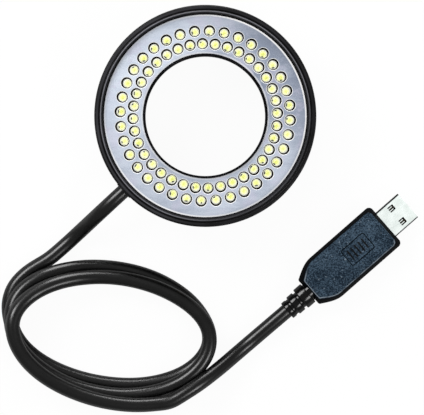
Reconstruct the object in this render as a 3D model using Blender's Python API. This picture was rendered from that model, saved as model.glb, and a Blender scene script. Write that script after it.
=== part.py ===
# Microscope ring light with its lead and power plug, in metres, +Z up.
# The ring lies on its rear collar with the lamps facing up. The ring's axis is the Z axis and the
# collar's rear face is z = 0. Every hidden size is a plain choice that suits the sizes seen.
import math

import bmesh
import bpy
from mathutils import Matrix, Vector

# Fits that every piece shares
seat_gap = 0.0003
running_gap = 0.0001
overrun = 0.0010

# Ring body
bore_radius = 0.0230
collar_wall = 0.0080
collar_height = 0.0080
cover_flange = 0.0022
spigot_height = 0.0012
wall_thickness = 0.0034
edge_break = 0.0004
ring_sides = 48

# Bore sleeve
sleeve_wall = 0.0006
sleeve_foot_wall = 0.0016
sleeve_rise = 0.0011

# Reflector plate, and how far the lip stands above it
plate_thickness = 0.0012
plate_ledge_width = 0.0009
plate_ledge_height = 0.0017
lip_rise = 0.0024

# Lamps: two rows, staggered by half a step. A land is the metal left between two holes
inner_row_start = math.radians(2.2)
inner_row_margin = 0.00125
lens_radius = 0.00185
lens_round_share = 0.64
lamp_height = 0.0057
lamp_clearance = 0.0003
lamp_land = 0.0005
row_land = 0.0006
lamp_show = 0.0004
lamp_sides = 8
lamp_strip_thickness = 0.0006

# Lamp board
board_thickness = 0.0016
board_edge_gap = 0.0006
resistor_count = 6
resistor_length = 0.0032
resistor_width = 0.0016
resistor_height = 0.0006

# Fasteners inside, three of each, and the screws that hold the rear cover
fastener_count = 3
fastener_azimuth = math.radians(42.5)
head_clearance = 0.00035
spacer_clearance = 0.0004
small_thread_radius = 0.0010
small_head_radius = 0.0017
small_head_height = 0.0013
spacer_radius = 0.0021
spacer_stud = 0.0022
board_screw_length = 0.0046
cover_screw_radius = 0.0008
cover_screw_head_radius = 0.0014
cover_screw_head_height = 0.0010
cover_screw_length = 0.0070
cover_screw_socket = 0.0007
socket_sides = 6
screw_sides = 12

# Thumb screws in the collar
thumb_thread_radius = 0.0020
thumb_travel = 0.0040
thumb_head_radius = 0.0036
thumb_head_length = 0.0048
thumb_flute_depth = 0.0003
thumb_flutes = 18
tip_radius = 0.0016
tip_length = 0.0015
tip_stem_radius = 0.0008
tip_stem_length = 0.0015
thumb_sides = 16

# Lead
cord_radius = 0.0028
cord_azimuth = math.radians(222.5)
cord_reach_inside = 0.0061
cord_straight_outside = 0.0045
cord_gap = 0.0002
bush_wall = 0.0005
bush_lip_radius = 0.0045
bush_lip_length = 0.0006
tie_setback = 0.0031
tie_width = 0.0025
tie_thickness = 0.0005
tie_head = 0.0022
wire_radius = 0.00055
wire_spread = 0.0011
wire_pad_spread = 0.0026

# Coil of the lead: an oval of two and a half turns, placed from where the lead leaves the wall
coil_from_exit = (-0.0048, -0.0537)
coil_half_length = 0.0383
coil_half_width = 0.02035
coil_turn = math.radians(-6.7)
coil_gap = 0.0005
coil_points_per_turn = 24
coil_end_degrees = 2
cord_step_share = 1.6

# Plug, its rear face placed from where the lead leaves the wall
plug_from_exit = (0.07105, -0.03891)
plug_heading = math.radians(41.2)
plug_length = 0.0395
plug_width = 0.0192
plug_rear_width = 0.0130
plug_thickness = 0.0092
plug_taper = 0.0092
plug_bevel = 0.0017
plug_bevel_height = 0.0022
plug_front_corner = 0.0018
plug_rear_corner = 0.0010
panel_length = 0.0116
panel_width = 0.0077
panel_depth = 0.0003
panel_corner = 0.0010
panel_place = 0.0144
shell_width = 0.0120
shell_thickness = 0.0045
shell_wall = 0.0003
shell_corner = 0.0005
shell_show = 0.0112
shell_embed = 0.0070
window_length = 0.0023
window_width = 0.0020
window_place = 0.0057
window_spread = 0.0065
tongue_thickness = 0.0018
tongue_setback = 0.0008
block_length = 0.0060
contact_thickness = 0.0003
contact_width = 0.0010
contact_setback = 0.0010
contact_tail = 0.0015
contact_outer_place = 0.0035
contact_inner_place = 0.0010
relief_neck_radius = 0.0034
relief_root_radius = 0.0037
relief_root_length = 0.0028
relief_rib_radius = 0.0045
relief_rib_step = 0.0004
relief_rib_length = 0.0038
relief_rib_shortening = 0.0009
relief_groove = 0.0010
relief_ribs = 3
cord_in_plug = 0.0090
plug_wire_bend_shares = (0.15, 0.60)
chamber_width = 0.0094
chamber_height = 0.0030

# Radii, counts and places that follow from the sizes above, from the bore outward
collar_radius = bore_radius + collar_wall
sleeve_outside = bore_radius + sleeve_wall
sleeve_foot_outside = bore_radius + sleeve_foot_wall
lamp_hole_radius = lens_radius + lamp_clearance
lamp_strip_width = 2 * (lens_radius + running_gap)
inner_row_radius = sleeve_foot_outside + inner_row_margin + lens_radius
outer_row_radius = inner_row_radius + 2 * lamp_hole_radius + row_land
middle_row_radius = (inner_row_radius + outer_row_radius) / 2
lamp_count = int(2 * math.pi * inner_row_radius / (2 * lamp_hole_radius + lamp_land))
outer_row_start = inner_row_start + math.pi / lamp_count
board_fastener_radius = outer_row_radius + lamp_strip_width / 2 + head_clearance + small_head_radius
wall_inside = board_fastener_radius + spacer_radius + spacer_clearance
housing_radius = wall_inside + wall_thickness
plate_radius = wall_inside - seat_gap
cover_screw_circle = wall_inside + wall_thickness / 2
cover_screw_azimuth = fastener_azimuth + math.pi / fastener_count / 2
cord_diameter = 2 * cord_radius
cord_exit = (housing_radius * math.cos(cord_azimuth), housing_radius * math.sin(cord_azimuth))
coil_centre = (cord_exit[0] + coil_from_exit[0], cord_exit[1] + coil_from_exit[1])
plug_place = (cord_exit[0] + plug_from_exit[0], cord_exit[1] + plug_from_exit[1])

# Levels that follow, from the collar's rear face up
floor_level = collar_height + cover_flange + spigot_height
wall_foot = collar_height + cover_flange + seat_gap
board_level = floor_level + 2 * (cord_radius + cord_gap + tie_thickness + running_gap)
cord_height = (floor_level + board_level) / 2
board_top = board_level + board_thickness
lamp_foot = board_top + seat_gap
plate_top = lamp_foot + lamp_height - lamp_show
plate_level = plate_top - plate_thickness
plug_middle = plug_thickness / 2


def clear_scene():
    for item in list(bpy.data.objects):
        bpy.data.objects.remove(item, do_unlink=True)


def material(name, colour, roughness, metallic=0.0):
    made = bpy.data.materials.new(name)
    made.use_nodes = True
    shader = made.node_tree.nodes["Principled BSDF"]
    shader.inputs["Base Color"].default_value = (*colour, 1.0)
    shader.inputs["Roughness"].default_value = roughness
    shader.inputs["Metallic"].default_value = metallic
    return made


def place(name, bm, finish, parent=None, smooth=True):
    """Turn a bmesh into a named object with one material."""
    bmesh.ops.remove_doubles(bm, verts=bm.verts, dist=seat_gap / 100)
    bmesh.ops.recalc_face_normals(bm, faces=bm.faces)
    mesh = bpy.data.meshes.new(name)
    bm.to_mesh(mesh)
    bm.free()
    if smooth:
        mesh.shade_smooth()
        mesh.set_sharp_from_angle(angle=math.radians(35))
    mesh.materials.append(finish)
    made = bpy.data.objects.new(name, mesh)
    bpy.context.collection.objects.link(made)
    made.parent = parent
    return made


def cutter(name, bm, parent=None):
    """Keep a bmesh as a hidden tool for Boolean cuts."""
    bmesh.ops.recalc_face_normals(bm, faces=bm.faces)
    mesh = bpy.data.meshes.new(name)
    bm.to_mesh(mesh)
    bm.free()
    made = bpy.data.objects.new(name, mesh)
    bpy.context.collection.objects.link(made)
    made.hide_render = True
    made.display_type = "WIRE"
    made.parent = parent
    return made


def cut(target, tool):
    step = target.modifiers.new(tool.name, "BOOLEAN")
    step.operation = "DIFFERENCE"
    step.solver = "EXACT"
    step.object = tool


def unite(target, tool):
    step = target.modifiers.new(tool.name, "BOOLEAN")
    step.operation = "UNION"
    step.solver = "EXACT"
    step.object = tool


def empty_at(name, matrix):
    made = bpy.data.objects.new(name, None)
    bpy.context.collection.objects.link(made)
    made.matrix_world = matrix
    return made


def turned(bm, profile, sides, matrix=None):
    """Spin a closed outline of (radius, height) points once round Z."""
    points = [bm.verts.new((radius, 0, height)) for radius, height in profile]
    loop = [bm.edges.new((a, b)) for a, b in zip(points, points[1:] + points[:1])]
    bmesh.ops.spin(
        bm,
        geom=points + loop,
        cent=(0, 0, 0),
        axis=(0, 0, 1),
        angle=2 * math.pi,
        steps=sides,
        use_merge=True,
    )
    on_axis = [edge for edge in loop if max(math.hypot(*v.co.xy) for v in edge.verts) < seat_gap / 100]
    bmesh.ops.delete(bm, geom=on_axis, context="EDGES")
    bmesh.ops.remove_doubles(bm, verts=bm.verts, dist=seat_gap / 100)
    loose = [face for face in bm.faces if face.calc_area() == 0]
    bmesh.ops.delete(bm, geom=loose, context="FACES")
    bmesh.ops.dissolve_degenerate(bm, edges=bm.edges, dist=seat_gap / 100)
    stray = [edge for edge in bm.edges if not edge.link_faces]
    bmesh.ops.delete(bm, geom=stray, context="EDGES")
    if matrix is not None:
        bmesh.ops.transform(bm, matrix=matrix, verts=bm.verts)
    return bm


def rod(bm, radius, low, high, sides, matrix=None):
    """A plain round bar along Z, from one height to another."""
    spot = Matrix.Translation((0, 0, (low + high) / 2))
    if matrix is not None:
        spot = matrix @ spot
    bmesh.ops.create_cone(
        bm,
        cap_ends=True,
        segments=sides,
        radius1=radius,
        radius2=radius,
        depth=high - low,
        matrix=spot,
    )


def block(bm, low, high, matrix=None):
    """A box between two corners."""
    size = Vector(high) - Vector(low)
    middle = (Vector(high) + Vector(low)) / 2
    spot = Matrix.Translation(middle) @ Matrix.Diagonal((*size, 1))
    if matrix is not None:
        spot = matrix @ spot
    bmesh.ops.create_cube(bm, size=1, matrix=spot)


def prism(bm, outline, low, high):
    """Extrude a flat outline upward."""
    ring = [bm.verts.new((x, y, low)) for x, y in outline]
    base = bm.faces.new(ring)
    grown = bmesh.ops.extrude_face_region(bm, geom=[base])
    top = [item for item in grown["geom"] if isinstance(item, bmesh.types.BMVert)]
    bmesh.ops.translate(bm, vec=(0, 0, high - low), verts=top)


def rounded_box(length, width, corner, steps=3):
    """Outline of a rectangle about the origin with round corners."""
    points = []
    for quarter in range(4):
        sign_x = 1 if quarter in (0, 3) else -1
        sign_y = 1 if quarter in (0, 1) else -1
        middle = (sign_x * (length / 2 - corner), sign_y * (width / 2 - corner))
        for step in range(steps + 1):
            angle = math.pi / 2 * (quarter + step / steps)
            points.append((middle[0] + corner * math.cos(angle), middle[1] + corner * math.sin(angle)))
    return points


def outward(azimuth, height):
    """A frame whose Z points outward from the ring's axis, whose origin lies on that axis."""
    turn = Matrix.Rotation(azimuth, 4, "Z") @ Matrix.Rotation(math.pi / 2, 4, "Y")
    return Matrix.Translation((0, 0, height)) @ turn


def round_ring(azimuths, radius):
    return [Matrix.Rotation(a, 4, "Z") @ Matrix.Translation((radius, 0, 0)) for a in azimuths]


def spaced(start, count):
    return [start + 2 * math.pi * k / count for k in range(count)]


def smooth_route(points, spacing):
    """Read points at an even spacing from a smooth curve through the route's own points."""
    given = [Vector(p) for p in points]
    ends = [2 * given[0] - given[1]] + given + [2 * given[-1] - given[-2]]
    fine = []
    steps = 24
    for k in range(1, len(ends) - 2):
        a, b, c, d = ends[k - 1], ends[k], ends[k + 1], ends[k + 2]
        for step in range(steps):
            t = step / steps
            square = (2 * a - 5 * b + 4 * c - d) * t**2
            cube = (3 * b - a - 3 * c + d) * t**3
            fine.append((2 * b + (c - a) * t + square + cube) / 2)
    fine.append(given[-1])
    whole = sum((q - p).length for p, q in zip(fine, fine[1:]))
    count = max(2, round(whole / spacing))
    read = [fine[0]]
    gone = 0.0
    for p, q in zip(fine, fine[1:]):
        piece = (q - p).length
        while len(read) < count and gone + piece >= whole * len(read) / count:
            read.append(p.lerp(q, (whole * len(read) / count - gone) / piece))
        gone += piece
    read.append(fine[-1])
    return read


def tube(name, points, radius, resolution, finish):
    """A cord or wire: a poly curve with a round bevel and filled ends."""
    curve = bpy.data.curves.new(name, "CURVE")
    curve.dimensions = "3D"
    curve.bevel_depth = radius
    curve.bevel_resolution = resolution
    curve.use_fill_caps = True
    line = curve.splines.new("POLY")
    line.points.add(len(points) - 1)
    for spot, point in zip(line.points, points):
        spot.co = (*point, 1)
    line.use_smooth = True
    curve.materials.append(finish)
    made = bpy.data.objects.new(name, curve)
    bpy.context.collection.objects.link(made)
    return made


# Rear cover with its mounting collar, one turned piece
def rear_cover():
    spigot_radius = wall_inside - seat_gap
    seat_radius = sleeve_foot_outside + seat_gap
    bm = turned(
        bmesh.new(),
        [
            (bore_radius, edge_break),
            (bore_radius + edge_break, 0),
            (collar_radius - edge_break, 0),
            (collar_radius, edge_break),
            (collar_radius, collar_height),
            (housing_radius - edge_break, collar_height),
            (housing_radius, collar_height + edge_break),
            (housing_radius, wall_foot - seat_gap),
            (spigot_radius, wall_foot - seat_gap),
            (spigot_radius, floor_level),
            (seat_radius, floor_level),
            (seat_radius, collar_height),
            (bore_radius, collar_height),
        ],
        ring_sides,
    )
    made = place("rear_cover", bm, black_anodised)
    threads = bmesh.new()
    for azimuth in spaced(fastener_azimuth, fastener_count):
        rod(
            threads,
            thumb_thread_radius + running_gap,
            bore_radius - overrun,
            collar_radius + overrun,
            thumb_sides,
            outward(azimuth, collar_height / 2),
        )
    cut(made, cutter("thumb_thread_holes", threads))
    holes = bmesh.new()
    for spot in round_ring(spaced(fastener_azimuth, fastener_count), board_fastener_radius):
        rod(
            holes,
            small_thread_radius + seat_gap,
            floor_level - spacer_stud - seat_gap,
            floor_level + overrun,
            screw_sides,
            spot,
        )
    for spot in round_ring(spaced(cover_screw_azimuth, fastener_count), cover_screw_circle):
        rod(
            holes,
            cover_screw_radius + seat_gap,
            collar_height - overrun,
            wall_foot + overrun,
            screw_sides,
            spot,
        )
    cut(made, cutter("cover_holes", holes))
    sinks = bmesh.new()
    for spot in round_ring(spaced(cover_screw_azimuth, fastener_count), cover_screw_circle):
        rod(
            sinks,
            cover_screw_head_radius + cord_gap,
            collar_height - overrun,
            collar_height + cover_screw_head_height + cord_gap,
            screw_sides,
            spot,
        )
    cut(made, cutter("cover_sinks", sinks))


# Housing: the turned outer wall with its ledge for the plate and its beaded lip
def outer_housing():
    ledge_inside = wall_inside - plate_ledge_width - seat_gap
    ledge_top = plate_level - seat_gap
    lip_width_shares = [
        (0.00, 0.10),
        (0.16, 0.62),
        (0.22, 0.90),
        (0.29, 1.00),
        (0.37, 0.92),
        (0.44, 0.70),
        (0.50, 0.70),
        (0.53, 0.86),
        (0.90, 0.86),
        (1.00, 0.66),
    ]
    lip = [
        (wall_inside + across * wall_thickness, plate_top + up * lip_rise)
        for across, up in lip_width_shares
    ]
    bm = turned(
        bmesh.new(),
        [
            (housing_radius, wall_foot),
            (wall_inside, wall_foot),
            (wall_inside, ledge_top - plate_ledge_height - plate_ledge_width),
            (ledge_inside, ledge_top - plate_ledge_height),
            (ledge_inside, ledge_top),
            (wall_inside, ledge_top),
            *lip,
        ],
        ring_sides,
    )
    made = place("outer_housing", bm, black_anodised)
    entry = bmesh.new()
    rod(
        entry,
        cord_radius + cord_gap + bush_wall + cord_gap,
        wall_inside - overrun,
        housing_radius + overrun,
        thumb_sides,
        outward(cord_azimuth, cord_height),
    )
    cut(made, cutter("cord_entry", entry))
    taps = bmesh.new()
    for spot in round_ring(spaced(cover_screw_azimuth, fastener_count), cover_screw_circle):
        rod(
            taps,
            cover_screw_radius + seat_gap,
            wall_foot - overrun,
            collar_height + cover_screw_length + seat_gap,
            screw_sides,
            spot,
        )
    cut(made, cutter("cover_screw_taps", taps))


# Bore sleeve: a thin tube on a thicker foot, which carries the plate's inner edge
def bore_sleeve():
    bm = turned(
        bmesh.new(),
        [
            (bore_radius, collar_height + seat_gap),
            (sleeve_foot_outside, collar_height + seat_gap),
            (sleeve_foot_outside, plate_level - seat_gap),
            (sleeve_outside, plate_level - seat_gap),
            (sleeve_outside, plate_top + sleeve_rise - sleeve_wall / 2),
            (sleeve_outside - sleeve_wall / 3, plate_top + sleeve_rise),
            (bore_radius + sleeve_wall / 3, plate_top + sleeve_rise),
            (bore_radius, plate_top + sleeve_rise - sleeve_wall / 2),
        ],
        ring_sides,
    )
    place("bore_sleeve", bm, black_anodised)


def lamp_places():
    inner = round_ring(spaced(inner_row_start, lamp_count), inner_row_radius)
    outer = round_ring(spaced(outer_row_start, lamp_count), outer_row_radius)
    return inner, outer


# Reflector plate: a flat silver ring with a hole for every lamp
def reflector_plate():
    inside = sleeve_outside + seat_gap
    bm = turned(
        bmesh.new(),
        [(inside, plate_level), (plate_radius, plate_level), (plate_radius, plate_top), (inside, plate_top)],
        ring_sides,
    )
    made = place("reflector_plate", bm, silver)
    for name, row in zip(("inner_lamp_holes", "outer_lamp_holes"), lamp_places()):
        holes = bmesh.new()
        for spot in row:
            rod(holes, lamp_hole_radius, plate_level - overrun, plate_top + overrun, lamp_sides, spot)
        cut(made, cutter(name, holes))


# Lamps: each a straight body with a round nose. A thin strip at their feet joins a row
def lamp_row(name, row, row_radius):
    strip_inside = row_radius - lamp_strip_width / 2
    strip_outside = row_radius + lamp_strip_width / 2
    strip_top = lamp_foot + lamp_strip_thickness
    strip = turned(
        bmesh.new(),
        [
            (strip_inside, lamp_foot),
            (strip_outside, lamp_foot),
            (strip_outside, strip_top),
            (strip_inside, strip_top),
        ],
        lamp_count,
    )
    made = place(name, strip, lamp_yellow)
    base = lamp_foot + lamp_strip_thickness / 2
    shoulder = lamp_foot + lamp_height - lens_radius
    lens_round = lens_radius * lens_round_share
    lens_rise = math.sqrt(lens_radius**2 - lens_round**2)
    outline = [
        (0, base),
        (lens_radius, base),
        (lens_radius, shoulder),
        (lens_round, shoulder + lens_rise),
        (0, lamp_foot + lamp_height),
    ]
    lamps = bmesh.new()
    for spot in row:
        join(lamps, turned(bmesh.new(), outline, lamp_sides, spot))
    unite(made, cutter(name + "_bodies", lamps))


# Lamp board, with holes for its three screws
def led_board():
    inside = sleeve_foot_outside + board_edge_gap
    outside = wall_inside - board_edge_gap
    bm = turned(
        bmesh.new(),
        [(inside, board_level), (outside, board_level), (outside, board_top), (inside, board_top)],
        ring_sides,
    )
    made = place("led_board", bm, board_green)
    holes = bmesh.new()
    hole_radius = small_thread_radius + seat_gap
    for spot in round_ring(spaced(fastener_azimuth, fastener_count), board_fastener_radius):
        rod(holes, hole_radius, board_level - overrun, board_top + overrun, screw_sides, spot)
    cut(made, cutter("board_holes", holes))


# Resistors on the board's underside, between the two rows
def led_resistors():
    top = board_level - seat_gap
    for number, spot in enumerate(round_ring(spaced(0, resistor_count), middle_row_radius), 1):
        bm = bmesh.new()
        block(
            bm,
            (-resistor_width / 2, -resistor_length / 2, top - resistor_height),
            (resistor_width / 2, resistor_length / 2, top),
            spot,
        )
        place(f"led_resistor_{number}", bm, resistor_black, smooth=False)


# Board spacer: a threaded post with a stud below, screwed into the cover
def board_spacer(name, spot):
    foot = floor_level + seat_gap
    head = board_level - seat_gap
    bore_bottom = head - board_screw_length + board_thickness
    bm = turned(
        bmesh.new(),
        [
            (0, floor_level - spacer_stud),
            (small_thread_radius, floor_level - spacer_stud),
            (small_thread_radius, foot),
            (spacer_radius, foot),
            (spacer_radius, head),
            (small_thread_radius + seat_gap, head),
            (small_thread_radius + seat_gap, bore_bottom),
            (0, bore_bottom),
        ],
        screw_sides,
        spot,
    )
    place(name, bm, brass)


# Pan-head screw that holds the board down on a spacer
def board_screw(name, spot):
    seat = board_top + seat_gap
    point = seat + 2 * seat_gap - board_screw_length
    bm = turned(
        bmesh.new(),
        [
            (0, point),
            (small_thread_radius, point),
            (small_thread_radius, seat),
            (small_head_radius, seat),
            (small_head_radius, seat + small_head_height / 2),
            (small_head_radius / 2, seat + small_head_height),
            (0, seat + small_head_height),
        ],
        screw_sides,
        spot,
    )
    place(name, bm, steel)


# Screw from the rear that holds the cover to the housing wall, with a hexagon socket
def cover_screw(name, spot):
    face = collar_height
    seat = face + cover_screw_head_height - cord_gap
    bm = turned(
        bmesh.new(),
        [
            (0, face),
            (cover_screw_head_radius, face),
            (cover_screw_head_radius, seat),
            (cover_screw_radius, seat),
            (cover_screw_radius, face + cover_screw_length),
            (0, face + cover_screw_length),
        ],
        screw_sides,
        spot,
    )
    made = place(name, bm, steel)
    socket = bmesh.new()
    rod(socket, cover_screw_socket, face - overrun, face + cover_screw_socket, socket_sides, spot)
    cut(made, cutter(name + "_socket", socket))


def join(bm, one):
    """Add a finished small piece to the bmesh that gathers its kind."""
    held = bpy.data.meshes.new("one_piece")
    one.to_mesh(held)
    one.free()
    bm.from_mesh(held)
    bpy.data.meshes.remove(held)


# Thumb screws: each turns on its own radial axis and drives its nylon tip inward
def thumb_screw(letter, azimuth):
    axis = empty_at("thumb_axis_" + letter, outward(azimuth, collar_height / 2))
    tip_front = bore_radius + running_gap
    tip_back = tip_front + tip_length
    thread_end = tip_back + seat_gap
    head_start = collar_radius + thumb_travel + seat_gap
    head_end = head_start + thumb_head_length
    tip = turned(
        bmesh.new(),
        [
            (0, tip_front),
            (tip_radius - edge_break / 2, tip_front),
            (tip_radius, tip_front + edge_break / 2),
            (tip_radius, tip_back),
            (tip_stem_radius, tip_back),
            (tip_stem_radius, tip_back + tip_stem_length),
            (0, tip_back + tip_stem_length),
        ],
        screw_sides,
    )
    place("screw_tip_" + letter, tip, nylon, axis)
    stem_hole = tip_stem_radius + seat_gap
    stem_end = tip_back + tip_stem_length + seat_gap
    shank = turned(
        bmesh.new(),
        [
            (0, stem_end),
            (stem_hole, stem_end),
            (stem_hole, thread_end),
            (thumb_thread_radius, thread_end),
            (thumb_thread_radius, head_start + overrun),
            (0, head_start + overrun),
        ],
        thumb_sides,
    )
    screw = place("thumb_screw_" + letter, shank, brass, axis)
    head = bmesh.new()
    outline = []
    for k in range(2 * thumb_flutes):
        radius = thumb_head_radius - (k % 2) * thumb_flute_depth
        angle = math.pi * k / thumb_flutes
        outline.append((radius * math.cos(angle), radius * math.sin(angle)))
    prism(head, outline, head_start, head_end)
    unite(screw, cutter("thumb_head_" + letter, head, axis))


# Rubber bush that lines the lead's hole in the wall
def cable_bush():
    inside = cord_radius + cord_gap
    outside = inside + bush_wall
    lip_start = housing_radius + running_gap
    bm = turned(
        bmesh.new(),
        [
            (inside, wall_inside - seat_gap),
            (outside, wall_inside - seat_gap),
            (outside, lip_start),
            (bush_lip_radius, lip_start),
            (bush_lip_radius, lip_start + bush_lip_length / 2),
            (bush_lip_radius - bush_lip_length / 2, lip_start + bush_lip_length),
            (inside, lip_start + bush_lip_length),
        ],
        thumb_sides,
        outward(cord_azimuth, cord_height),
    )
    place("cable_bush", bm, rubber)


# Tie drawn tight round the lead behind the wall, so that a pull can't reach the wires
def cable_tie():
    inside = cord_radius + cord_gap
    outside = inside + tie_thickness
    low = wall_inside - tie_setback - tie_width / 2
    high = low + tie_width
    spot = outward(cord_azimuth, cord_height)
    band = [(inside, low), (outside, low), (outside, high), (inside, high)]
    bm = turned(bmesh.new(), band, thumb_sides, spot)
    made = place("cable_tie", bm, nylon)
    lock = bmesh.new()
    middle = outside + tie_head / 2 - tie_thickness / 2
    block(
        lock,
        (-tie_head / 2, middle - tie_head / 2, low - seat_gap),
        (tie_head / 2, middle + tie_head / 2, high + seat_gap),
        spot,
    )
    unite(made, cutter("tie_lock", lock))


# Two wires from the lead's inner end up to the board
def supply_wires():
    spot = outward(cord_azimuth, 0)
    face = wall_inside - cord_reach_inside - seat_gap
    for name, side, finish in (("red_wire", 1, wire_red), ("black_wire", -1, wire_black)):
        bend = (face + middle_row_radius) / 2
        local = [
            (cord_height, side * wire_spread, face),
            (cord_height, side * wire_spread, face - wire_radius),
            (cord_height + wire_radius, side * (wire_spread + wire_pad_spread) / 2, bend),
            ((cord_height + board_level) / 2, side * wire_pad_spread, middle_row_radius),
            (board_level - seat_gap - wire_radius, side * wire_pad_spread, middle_row_radius),
            (board_level - seat_gap, side * wire_pad_spread, middle_row_radius),
        ]
        points = [spot @ Vector((-x, y, z)) for x, y, z in local]
        tube(name, smooth_route(points, 2 * wire_radius), wire_radius, 1, finish)


# The coil's stations: degrees round the oval, then how far outside the oval and how high above
# the surface the turn lies there, both as shares of one cord and its gap
coil_station_shares = [
    (124, 1.72, 0.00),
    (127, 1.55, 0.00),
    (132, 1.39, 0.00),
    (140, 1.27, 0.00),
    (155, 0.97, 0.00),
    (168, 0.54, 0.00),
    (180, 0.16, 0.00),
    (195, 0.00, 0.00),
    (216, -0.06, 0.00),
    (240, -0.05, 0.00),
    (264, 0.00, 0.00),
    (290, 0.05, 0.00),
    (315, 0.01, 0.00),
    (340, -0.06, 0.00),
    (360, -0.04, 0.00),
    (384, 0.00, 0.00),
    (408, 0.25, 0.00),
    (432, 0.50, 0.00),
    (450, 0.60, 0.00),
    (468, 0.64, 0.12),
    (480, 0.63, 0.40),
    (492, 0.60, 0.68),
    (504, 0.54, 0.81),
    (516, 0.42, 0.92),
    (528, 0.25, 1.00),
    (540, 0.10, 1.04),
    (558, 0.08, 1.04),
    (576, 0.20, 1.01),
    (592, 0.34, 0.96),
    (608, 0.50, 0.90),
    (624, 0.61, 0.83),
    (642, 0.66, 0.81),
    (660, 0.58, 0.865),
    (676, 0.42, 0.94),
    (700, 0.12, 1.02),
    (720, -0.02, 1.03),
    (744, -0.03, 1.03),
    (768, -0.04, 1.00),
    (790, 0.00, 0.92),
    (805, 0.02, 0.87),
    (818, 0.01, 0.87),
    (828, -0.02, 0.95),
    (840, -0.05, 1.19),
    (852, -0.09, 1.45),
    (864, -0.13, 1.59),
    (876, -0.15, 1.77),
    (888, -0.12, 1.96),
    (900, -0.05, 2.07),
    (915, 0.06, 2.08),
    (930, 0.27, 2.05),
    (945, 0.51, 1.99),
    (960, 0.73, 1.91),
    (975, 0.93, 1.81),
    (990, 1.12, 1.72),
    (1005, 1.27, 1.62),
    (1018, 1.35, 1.54),
]


def station(degrees, column):
    """Read one column of the stations on a smooth curve through them."""
    rows = coil_station_shares
    last = len(rows) - 1
    k = 0
    while k < last - 1 and rows[k + 1][0] <= degrees:
        k += 1

    def slope(i):
        before = rows[max(i - 1, 0)]
        after = rows[min(i + 1, last)]
        return (after[column] - before[column]) / (after[0] - before[0])

    span = rows[k + 1][0] - rows[k][0]
    t = (degrees - rows[k][0]) / span
    return (
        (2 * t**3 - 3 * t**2 + 1) * rows[k][column]
        + (t**3 - 2 * t**2 + t) * span * slope(k)
        + (3 * t**2 - 2 * t**3) * rows[k + 1][column]
        + (t**3 - t**2) * span * slope(k + 1)
    )


def coil_point(degrees):
    pitch = cord_diameter + coil_gap
    angle = math.radians(degrees)
    out = Vector((coil_half_width * math.cos(angle), coil_half_length * math.sin(angle), 0)).normalized()
    flat = Vector((coil_half_length * math.cos(angle), coil_half_width * math.sin(angle), 0))
    flat += out * station(degrees, 1) * pitch
    spot = Matrix.Translation((*coil_centre, 0)) @ Matrix.Rotation(coil_turn, 4, "Z")
    point = spot @ flat
    point.z = cord_radius + station(degrees, 2) * pitch
    return point


def coil_points():
    """The coil's centre line, with a straight end one diameter long at each end."""
    first = coil_station_shares[0][0]
    last = coil_station_shares[-1][0]
    count = round(coil_points_per_turn * (last - first) / 360)
    points = [coil_point(first + (last - first) * k / count) for k in range(count + 1)]
    start, finish = coil_ways()
    return [points[0] - start * cord_diameter] + points + [points[-1] + finish * cord_diameter]


def coil_ways():
    """Which way the coil runs at its two ends."""
    first = coil_station_shares[0][0]
    last = coil_station_shares[-1][0]
    start = level(coil_point(first + coil_end_degrees) - coil_point(first))
    return start, level(coil_point(last) - coil_point(last - coil_end_degrees))


def level(direction):
    flat = Vector((direction.x, direction.y, 0))
    return flat.normalized()


def least_coil_gap(points):
    """Least gap of the coil to itself, measured on points along it, leaving out near ones."""
    fine = []
    for p, q in zip(points, points[1:]):
        fine += [p.lerp(q, k / 6) for k in range(6)]
    step = (fine[1] - fine[0]).length
    skip = int(6 * cord_diameter / step)
    least = min(
        (fine[i] - fine[j]).length for i in range(0, len(fine)) for j in range(i + skip, len(fine))
    )
    return least - cord_diameter


# The lead's way down from the wall to the coil: how far along it is, then what is left of its height
lead_shares = [(0.2, 0.92), (0.4, 0.68), (0.6, 0.32), (0.8, 0.08)]

# The tail's way from the coil to the plug: along the straight line, beside it, what is left of the
# coil's height there, and how far it has risen to the plug's middle
tail_shares = [
    (0.09, -0.0098, 0.99, 0.00),
    (0.18, -0.0190, 0.92, 0.00),
    (0.27, -0.0222, 0.72, 0.00),
    (0.36, -0.0222, 0.43, 0.00),
    (0.45, -0.0192, 0.17, 0.00),
    (0.56, -0.0154, 0.02, 0.10),
    (0.67, -0.0115, 0.00, 0.60),
    (0.78, -0.0077, 0.00, 0.98),
    (0.86, -0.0049, 0.00, 1.00),
    (0.93, -0.0024, 0.00, 1.00),
]


def lead_points(coil):
    """From inside the wall, straight out of it and down to just short of the coil."""
    start = level(coil[1] - coil[0])
    met = [coil[0] - start * (seat_gap + cord_diameter / 4), coil[0] - start * seat_gap]
    out = outward(cord_azimuth, cord_height)
    inner_end = wall_inside - cord_reach_inside
    stub_end = housing_radius + cord_straight_outside
    reaches = (inner_end, (inner_end + housing_radius) / 2, housing_radius, stub_end)
    points = [out @ Vector((0, 0, reach)) for reach in reaches]
    for along, left in lead_shares:
        point = points[3].lerp(met[0], along)
        point.z = cord_radius + left * (cord_height - cord_radius)
        points.append(point)
    return smooth_route(points + met[:1], cord_diameter * cord_step_share) + met[1:]


def tail_points(coil):
    """From just past the coil along the surface and up into the plug."""
    finish = level(coil[-1] - coil[-2])
    met = [coil[-1] + finish * seat_gap, coil[-1] + finish * (seat_gap + cord_diameter / 4)]
    rear = Vector((*plug_place, plug_middle))
    way = level(rear - met[1]) * math.hypot(*(rear - met[1]).xy)
    beside = Vector((-way.y, way.x, 0))
    points = met[1:]
    for along, side, left, risen in tail_shares:
        point = met[1] + way * along + beside * side
        rise = left * (met[1].z - cord_radius) + risen * (plug_middle - cord_radius)
        point.z = cord_radius + rise
        points.append(point)
    inside = Vector((math.cos(plug_heading), math.sin(plug_heading), 0)) * cord_in_plug
    return met[:1] + smooth_route(points + [rear, rear + inside], cord_diameter * cord_step_share)


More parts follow.
